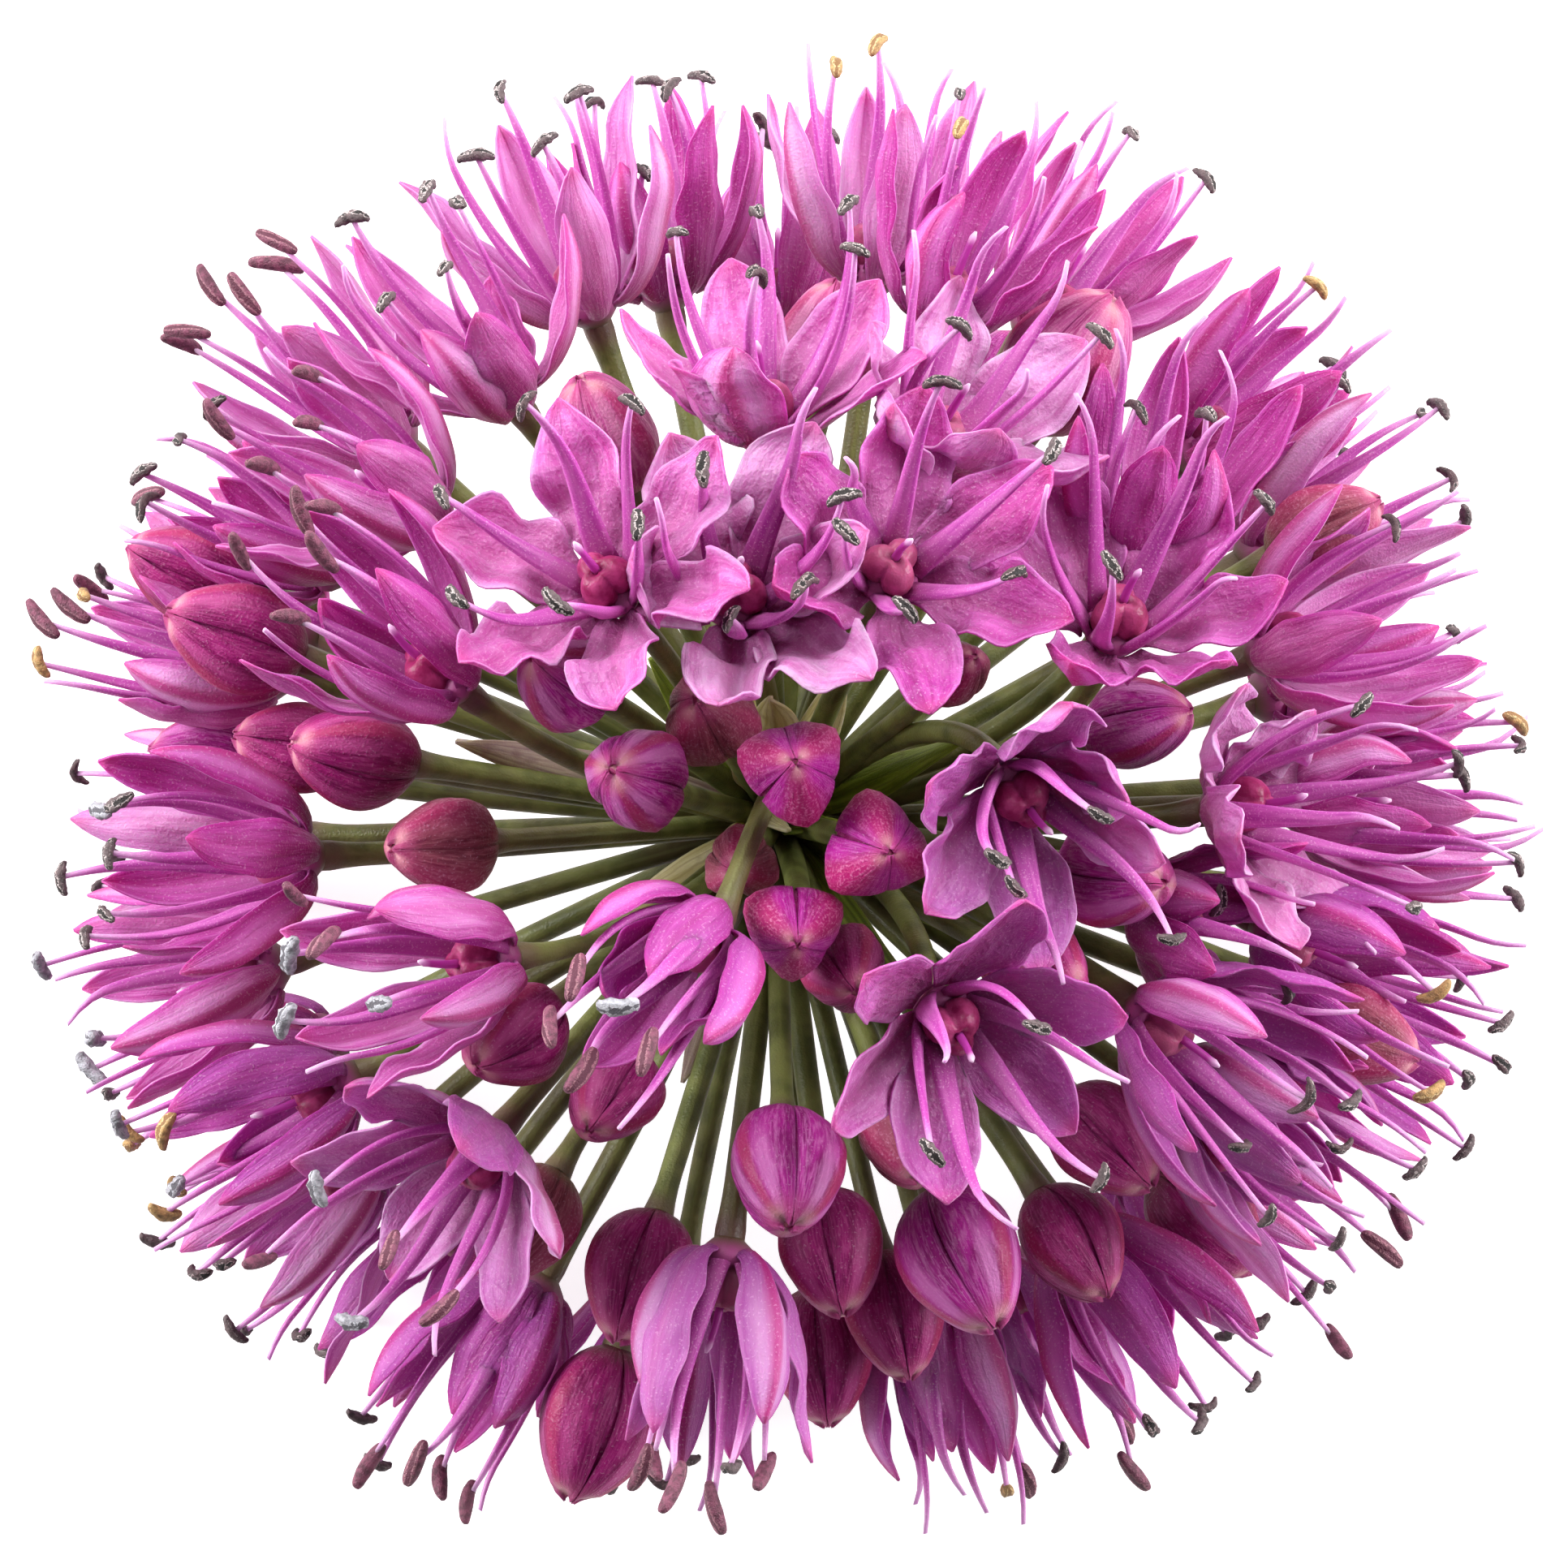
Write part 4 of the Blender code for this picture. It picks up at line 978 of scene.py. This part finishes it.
MODEL_INPUTS = [("Models", "NodeSocketCollection", None), ("Size", "NodeSocketFloat", 1.0)]
anther_tree, given, result = geometry_tree("Anthers on their filaments", MODEL_INPUTS)
apart = node(anther_tree, "GeometryNodeSeparateGeometry",
             {"Geometry": given["Geometry"],
              "Selection": maths("GREATER_THAN", named(anther_tree, "holds"), 0.5)}, domain="POINT")
both = node(anther_tree, "GeometryNodeJoinGeometry")
anther_tree.links.new(models_on(anther_tree, apart.outputs["Selection"], given), both.inputs[0])
anther_tree.links.new(apart.outputs["Inverted"], both.inputs[0])
position = node(anther_tree, "GeometryNodeInputPosition").outputs[0]
parts = node(anther_tree, "ShaderNodeSeparateXYZ", {"Vector": position})
# Anthers stay over the surface that the head rests on
above = node(anther_tree, "ShaderNodeCombineXYZ", {"X": parts.outputs[0], "Y": parts.outputs[1],
                                                  "Z": maths("MAXIMUM", parts.outputs[2], SURFACE * MM)})
kept = node(anther_tree, "GeometryNodeSetPosition",
            {"Geometry": both.outputs[0], "Position": above.outputs[0]})
anther_tree.links.new(kept.outputs[0], result.inputs[0])

# Florets. Every floret is one piece for its node: receptacle, tepals, filaments, ovary, style and
# anthers, in the poses that its solid settled into.
GREY, CURLED, POLLEN, PLUM, TAN = range(5)
FLORET_SEED, PLAIN_RUFFLE = 100, 0.16
# Share of the first of a floret's two kinds of anther, and how far a plum one stands out from its tip
FIRST_LOOK_SHARE, PLUM_OUT = 0.7, 0.4
# The two kinds of anther of the florets that have others than grey and curled ones
FLORET_ANTHERS = {6: (PLUM, POLLEN), 7: (PLUM, POLLEN), 8: (POLLEN, PLUM), 9: (PLUM, PLUM), 15: (TAN, GREY),
                  16: (PLUM, GREY), 20: (PLUM, GREY), 22: (TAN, PLUM), 23: (PLUM, GREY), 24: (GREY, POLLEN),
                  25: (POLLEN, GREY), 27: (TAN, POLLEN), 28: (TAN, GREY), 30: (GREY, PLUM), 32: (PLUM, GREY),
                  34: (TAN, GREY), 35: (PLUM, GREY), 38: (PLUM, GREY), 41: (TAN, GREY), 45: (TAN, GREY),
                  46: (TAN, GREY), 47: (TAN, GREY), 48: (TAN, GREY)}
# How much the tepals of some florets are ruffled
RUFFLED = {1: 0.5, 2: 0.5, 3: 0.4, 5: 0.3, 11: 0.3, 12: 0.4, 14: 0.3}
settle_draw = random.Random(SETTLE_SEED)
for number, flower in enumerate(flowers[:len(BLOOMS)], 1):
    name = f"bloom_{number:02d}"
    solid_mesh = frame["nodes"][name].data
    corners = KDTree(len(solid_mesh.vertices))
    for i, vert in enumerate(solid_mesh.vertices):
        corners.insert(vert.co / MM, i)
    corners.balance()
    draw = random.Random(FLORET_SEED + number)
    skin = Skin()
    tips = []
    for tepal, k, kind, angle, opening, length in poses(flower, settle_draw, corners):
        if tepal:
            add_tepal(skin, flower, kind, angle, opening, length, draw, RUFFLED.get(number, PLAIN_RUFFLE))
        else:
            tip, way = add_filament(skin, flower, k % 2, kind, angle, opening, length, draw)
            if kind:
                tips.append((Vector(tip), Vector(way).normalized()))
    add_middle(skin, flower, draw)
    slot = next(row["material_slot"] for row in frame["record"]["subparts"] if row["node"] == name)
    base = skin.mesh(name, [tepal_looks[slot], filament_skin, cup_skin, ovary_skin, style_skin])
    looks = FLORET_ANTHERS.get(number, (GREY, CURLED))
    start = len(base.vertices)
    base.vertices.add(len(tips))
    holds = base.attributes.new("holds", "FLOAT", "POINT").data
    rows = []
    for i, (tip, way) in enumerate(tips, start):
        turn = Vector((draw.uniform(-1, 1), draw.uniform(-1, 1), draw.uniform(-1, 1))).normalized()
        look = looks[0] if draw.random() < FIRST_LOOK_SHARE else looks[1]
        lean = draw.uniform(1.2, 3.0) if look == PLUM else draw.uniform(-0.3, 0.7)
        length_way = (way.cross(turn).normalized() + way * lean).normalized()
        up = way.cross(length_way).normalized()
        base.vertices[i].co = (tip + way * (PLUM_OUT if look == PLUM else 0.0)) * MM
        holds[i].value = 1.0
        rows.append((draw.uniform(0.85, 1.1), look, (length_way, up, length_way.cross(up))))
    mark_points(base, start, rows)
    bloom = put("floret_" + name[6:], grown(anther_tree, base, "floret_" + name[6:], {"Models": models}))
    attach(bloom, "root")
    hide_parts(name)
clear(models)

# Buds. Three outer tepals wrap the closed flower. Their keels make it three-cornered, their margins
# meet in grooves, and their hooded tips meet in a small pale star. Six models stand on the stalks.
BUD_SEED = 40
BUD_ROWS, BUD_COLUMNS, BUD_TISSUE = 22, 17, 0.13
CORE_ROWS, CORE_SIDES, CORE_SHARE = 16, 24, 0.88


def bud_girth(t, point):
    """Radius of a bud as a share of its widest: round at its foot, blunt or pointed at its tip."""
    blunt = np.sin(math.pi * np.clip(t, 0.006, 0.994) ** 0.86) ** 0.56
    return blunt * (1 - point * np.clip((t - 0.4) / 0.6, 0, 1) ** 1.5)


def bud_mesh(name, materials, seed, gape, corner, groove, point):
    """Bud of the common length and width, standing on the origin, in millimetres."""
    draw = random.Random(seed)
    flower = Flower(Vector(), Vector((0, 0, 1)), 0)
    skin = Skin()
    core = [(0.5 * BUD_WIDTH * CORE_SHARE * float(bud_girth(v, point)), BUD_LENGTH * (0.01 + 0.95 * v), 1.0)
            for v in np.linspace(0, 1, CORE_ROWS)]
    skin.add(*tube(turned(flower, core, CORE_SIDES, lobes=3, depth=0.07)), 1, tint=0.2,
             **grid_marks(CORE_ROWS, CORE_SIDES))
    s, w = blade_grid(BUD_ROWS, BUD_COLUMNS)
    arch = np.sin(math.pi * s)
    for i in range(3):
        swell, lean = draw.uniform(0.95, 1.03), draw.uniform(-5, 5)
        reach = 59 - gape * arch ** 1.5
        angle = 120 * i + lean * arch + reach * w
        bulge = 1 + corner * np.cos(np.radians(3 * reach * w))
        keel = 0.06 * np.exp(-(w / 0.16) ** 2) * arch ** 0.3
        seam = -groove * np.abs(w) ** 6 * np.sin(math.pi * np.clip(s, 0, 0.97)) ** 0.4
        sunk = -0.035 * np.exp(-((np.abs(w) - 0.42) / 0.14) ** 2) * arch
        rough = 0.014 * np.sin(9 * w + 3 * i) * np.sin(7 * s + i) * arch
        radius = 0.5 * BUD_WIDTH * bud_girth(s, point) * swell * (bulge + keel + seam + sunk + rough) + 0.02
        angle = np.radians(angle)
        folded_in = 0.05 * (1 - w ** 2) * np.clip((s - 0.9) / 0.1, 0, 1)
        high = BUD_LENGTH * (0.02 + (0.98 - 0.04 * (1 - swell)) * s - folded_in)
        points = np.stack([radius * np.cos(angle), radius * np.sin(angle), high + 0 * w], -1)
        skin.add(*sheet(points, BUD_TISSUE + 0 * s * w), 0, tint=draw.random(), keel=1.0,
                 **twice(grid_marks(BUD_ROWS, BUD_COLUMNS)))
    return skin.mesh(name, materials, floor=None)


def bud_material(name, light, body, deep, foot, banded):
    """Tissue of a bud: crimson and speckled along the keels, violet at the sides, dull at the foot."""
    made, tree, shader = new_material(name, 0.4, 0.2, (1.0, 0.3, 0.6), specular=0.22)
    cells, lines, along = grained(tree, 0.9, 0.09)[1], veined(tree), mark(tree, "along")
    off, streaks, silk = (lines[label] for label in ("Off middle", "Streaks", "Silk"))
    beside = maths("ABSOLUTE", maths("SUBTRACT", maths("ADD", off, product(streaks, 0.1)), 0.28))
    middle = ramp(maths("ADD", off, product(streaks, 0.12)), 0.2, 0.1)
    rib = product(middle, ramp(along, 0.0, 0.5), 0.8 * banded)
    ridge = product(ramp(maths("ADD", off, product(streaks, 0.4)), 0.75, 0.25), 1 - banded)
    mottles = ramp(maths("ADD", cells, product(silk, 0.5)), 0.68, 0.98)
    mottled = mixed(mottles, (0.46, 0.02, 0.15), (0.66, 0.15, 0.33))
    colour = layered(
        mixed(ramp(streaks, 0.34, 0.6), deep, body),
        # Painted sheen: lighter along the silky streaks
        (product(ramp(silk, 0.42, 0.7), 0.45), light),
        # Pale bands beside the keels: partly the bud's own colour, partly a painted highlight
        (product(ramp(beside, 0.16, 0.04), ramp(along, 0.25, 0.7), 0.6 * banded), light),
        (rib, (0.42, 0.035, 0.12)),
        (ridge, mottled),
        # Painted shade in the grooves where the tepals' margins meet
        (product(ramp(off, 0.74, 0.96), 0.6), deep),
        (product(ramp(along, 0.8, 0.98), 0.7), (0.5, 0.07, 0.22)),
        (product(ramp(along, 0.86, 0.98), ramp(off, 0.5, 0.05), 0.5), (0.76, 0.45, 0.42)),
        (ramp(along, 0.2, 0.0, 0.0, 0.75), foot),
        # Pale specks on the cells: partly the skin's own pale dots, partly painted glints
        (product(ramp(cells, 0.62, 0.76), 0.2), (0.9, 0.55, 0.75)))
    finished(shader, colour, maths("ADD", cells, silk), 0.05, roughness=ramp(silk, 0.3, 0.7, 0.5, 0.32))
    return made


# Name, light, body, deep and foot colours, and how much the keels and flanks are banded
bud_colours = [
    ("Bud", (0.76, 0.26, 0.62), (0.44, 0.02, 0.29), (0.22, 0.004, 0.13), (0.19, 0.03, 0.08), 1.0),
    ("Bud upright", (0.72, 0.2, 0.58), (0.44, 0.012, 0.29), (0.25, 0.004, 0.15), (0.16, 0.02, 0.07), 0.12),
    ("Bud dark", (0.56, 0.1, 0.32), (0.32, 0.01, 0.15), (0.16, 0.003, 0.07), (0.14, 0.03, 0.035), 0.9),
    ("Bud rosy", (0.82, 0.4, 0.6), (0.55, 0.11, 0.33), (0.33, 0.022, 0.16), (0.3, 0.14, 0.08), 0.8),
    ("Bud dull", (0.45, 0.16, 0.2), (0.25, 0.05, 0.085), (0.13, 0.015, 0.035), (0.19, 0.15, 0.05), 0.6),
]
plain, upright_skin, dark, rosy, dull = [bud_material(*row) for row in bud_colours]
# Materials, gape of the seams in degrees, and shares for the corners, the grooves and the point
bud_forms = [((plain, dark), 1, 0.04, 0.14, 0.1), ((upright_skin, dark), 1, 0.13, 0.02, 0.5),
             ((dark, dark), 1, 0.05, 0.13, 0.12), ((dark, dark), 4, 0.06, 0.13, 0.1),
             ((rosy, plain), 1, 0.04, 0.1, 0.06), ((dull, dull), 2, 0.05, 0.12, 0.16)]
models = shelf_of("bud_models", [bud_mesh(f"bud_{i}", skins, BUD_SEED + i, *shape)
                                 for i, (skins, *shape) in enumerate(bud_forms)])

bud_tree, given, result = geometry_tree("Buds on their stalks", MODEL_INPUTS)
bud_tree.links.new(models_on(bud_tree, given["Geometry"], given), result.inputs[0])
PLAIN, CORNERED, DARK, GAPING, ROSY, DULL = range(6)
# The dark look goes mostly to buds on the low side of the head: partly their own deeper colour, partly
# painted shade
BUD_LOOKS = [
    ROSY, ROSY, ROSY, DARK, DARK, PLAIN, GAPING, DULL, PLAIN, PLAIN, DULL, CORNERED, CORNERED, CORNERED,
    DARK, DULL, DARK, DARK, PLAIN, DARK, DULL, PLAIN, DARK, DARK, DARK, DARK, PLAIN, PLAIN, DULL, DULL,
    DARK, DARK, DARK, DULL, DULL, DARK, PLAIN, DARK]
spots = bpy.data.meshes.new("bud_spots")
buds = flowers[len(BLOOMS):]
spots.from_pydata([flower.base * MM for flower in buds], [], [])
mark_points(spots, 0, [(flower.size, look, (flower.across, flower.along, flower.axis))
                       for flower, look in zip(buds, BUD_LOOKS)])
bud_piece = put("buds", grown(bud_tree, spots, "buds", {"Models": models}))
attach(bud_piece, "root")
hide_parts("stalks_and_buds")
clear(models)

# Bracts. Small blades stand between the stalks where they leave the hub: the pale valve that once
# wrapped the whole head, green bracteoles that curl, and papery scraps that have dried to straw.
BRACT_FOOT, BRACT_SEED = (1.0, 0.0), 11
BRACT_ROWS, BRACT_COLUMNS, BRACT_TISSUE = 16, 9, 0.12
# Azimuth, polar angle, start, length, width, nod; those of the solid first, then small ones beside them
BRACTS = [
    (166, 76, 1.6, 10.5, 1.5, 10), (96, 44, 1.6, 6.5, 1.2, -8), (128, 66, 1.6, 7.5, 1.3, 14),
    (24, 60, 1.6, 8.0, 1.2, 12), (210, 62, 1.6, 6.0, 1.1, -10), (330, 80, 1.6, 8.5, 1.3, 12),
    (250, 84, 1.6, 8.0, 1.3, 10)]
SMALL_BRACTS = [
    (178, 24, 2.0, 4.6, 0.8, 34), (93, 34, 2.4, 8.2, 1.9, 6), (66, 40, 2.4, 6.4, 1.3, -6),
    (118, 40, 2.4, 6.0, 1.1, 14), (306, 46, 2.2, 12.4, 0.9, 6), (196, 34, 2.0, 4.6, 0.7, 10),
    (78, 30, 2.4, 6.0, 0.9, 10), (40, 34, 2.4, 7.6, 1.0, 18), (140, 30, 2.2, 4.2, 0.8, 26)]
VALVE, GREEN, STRAW = range(3)
BRACT_LOOKS = [
    VALVE, STRAW, GREEN, GREEN, STRAW, GREEN, VALVE, GREEN, STRAW, STRAW, STRAW, GREEN, STRAW, STRAW, GREEN,
    STRAW]


def bract_material(name, light, body, deep):
    """Thin leafy tissue with parallel veins and dried blotches."""
    made, tree, shader = new_material(name, 0.45, 0.4, (0.9, 0.9, 0.4))
    blotches, cells = grained(tree, 0.9, 0.08)
    lines = veined(tree)
    colour = layered(
        mixed(ramp(lines["Streaks"], 0.36, 0.66), body, light),
        (product(lines["Lines"], 0.4), deep),
        (product(ramp(blotches, 0.55, 0.75), 0.5), deep))
    finished(shader, colour, maths("ADD", cells, lines["Silk"]), 0.04)
    return made


leafy = Skin()
draw = random.Random(BRACT_SEED)
for row, (azimuth, polar, start, length, width, nod) in enumerate(BRACTS + SMALL_BRACTS):
    axis = direction(azimuth, polar)
    holder = Flower(HUB + axis * start, axis, 0)
    path = arm_path(BRACT_FOOT, length, nod, nod, 2.2 * nod if row >= len(BRACTS) else nod, BRACT_ROWS - 1)
    centre, inward, side = arm_frame(holder, path, 90)
    s, w = blade_grid(BRACT_ROWS, BRACT_COLUMNS)
    half = 0.56 * width * (0.5 + 0.5 * np.sin(math.pi * np.clip(s / 0.8, 0, 0.5))) * (1 - 0.96 * s ** 3)
    rolled = 0.5 * half * np.abs(w) ** 1.6 + 0.1 * np.sin(9 * s + draw.uniform(0, 6)) * w
    twist = math.radians(draw.uniform(-50, 50)) * s
    points = laid(centre, side, inward, *twisted(half * w, rolled, twist))
    leafy.add(*sheet(points, BRACT_TISSUE + 0 * s * w), BRACT_LOOKS[row], tint=draw.random(),
              **twice(grid_marks(BRACT_ROWS, BRACT_COLUMNS)))
bract_skins = [bract_material("Spathe valve", (0.5, 0.42, 0.34), (0.3, 0.2, 0.19), (0.2, 0.1, 0.13)),
               bract_material("Green bract", (0.3, 0.4, 0.06), (0.13, 0.19, 0.012), (0.08, 0.09, 0.015)),
               bract_material("Straw bract", (0.85, 0.78, 0.5), (0.62, 0.54, 0.24), (0.36, 0.24, 0.08))]
bracts = put("bracts", leafy.mesh("bracts", bract_skins))
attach(bracts, "root")
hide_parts("stalks_and_buds")

# Floor, light and camera. The head stands on a plain pale floor under soft studio light, and the
# camera looks straight down on it through a long lens.
FLOOR_HALF, LIT_HEIGHT = 2, 0.015
floor_mesh = bpy.data.meshes.new("floor")
corners = [(-FLOOR_HALF, -FLOOR_HALF, 0), (FLOOR_HALF, -FLOOR_HALF, 0), (FLOOR_HALF, FLOOR_HALF, 0),
           (-FLOOR_HALF, FLOOR_HALF, 0)]
floor_mesh.from_pydata(corners, [], [(0, 1, 2, 3)])
floor_paint, tree, shader = new_material("Floor", 0.9, specular=0.1)
shader.inputs["Base Color"].default_value = (0.8, 0.8, 0.8, 1)
shader.inputs["Emission Color"].default_value = (1, 1, 1, 1)
seen = node(tree, "ShaderNodeLightPath").outputs["Is Camera Ray"]
tree.links.new(ramp(seen, 0, 1, 0.2, 0.75), shader.inputs["Emission Strength"])
floor_mesh.materials.append(floor_paint)
floor = put("floor", floor_mesh)

world = bpy.data.worlds.new("Studio")
world.use_nodes = True
room = world.node_tree
room.nodes["Background"].inputs["Color"].default_value = (1, 1, 1, 1)
# The room is brighter behind the head than before it
around = node(room, "ShaderNodeTexCoord").outputs["Generated"]
way = node(room, "ShaderNodeSeparateXYZ", {"Vector": around}).outputs["Y"]
room.links.new(ramp(way, -1, 1, 0.05, 0.42), room.nodes["Background"].inputs["Strength"])
bpy.context.scene.world = world


def lamp(name, place, size, power):
    """Square soft light at a place in metres, turned to the head."""
    data = bpy.data.lights.new(name, "AREA")
    data.size, data.energy = size, power
    made = bpy.data.objects.new(name, data)
    made.location = place
    made.rotation_euler = (Vector((0, 0, LIT_HEIGHT)) - Vector(place)).to_track_quat("-Z", "Y").to_euler()
    bpy.context.scene.collection.objects.link(made)


lamp("Softbox", (-0.06, 0.49, 0.37), 0.28, 2.5)
lamp("Right fill", (0.49, 0.16, 0.2), 0.35, 4.3)
lamp("Left fill", (-0.49, 0.18, 0.22), 0.35, 4.6)

# Height in metres; the field in millimetres is what the long lens sees at its distance of 330 mm
CAMERA_HEIGHT, LENS_DISTANCE, FIELD, SENSOR = 0.3393, 330, 51.66, 36.0
lens = bpy.data.cameras.new("Camera")
lens.sensor_width = SENSOR
lens.lens = SENSOR * LENS_DISTANCE / FIELD
lens.clip_start, lens.clip_end = 0.01, 20
camera = bpy.data.objects.new("Camera", lens)
camera.location = (0, 0, CAMERA_HEIGHT)
bpy.context.scene.collection.objects.link(camera)
bpy.context.scene.camera = camera
bpy.context.scene.view_settings.view_transform = "Standard"
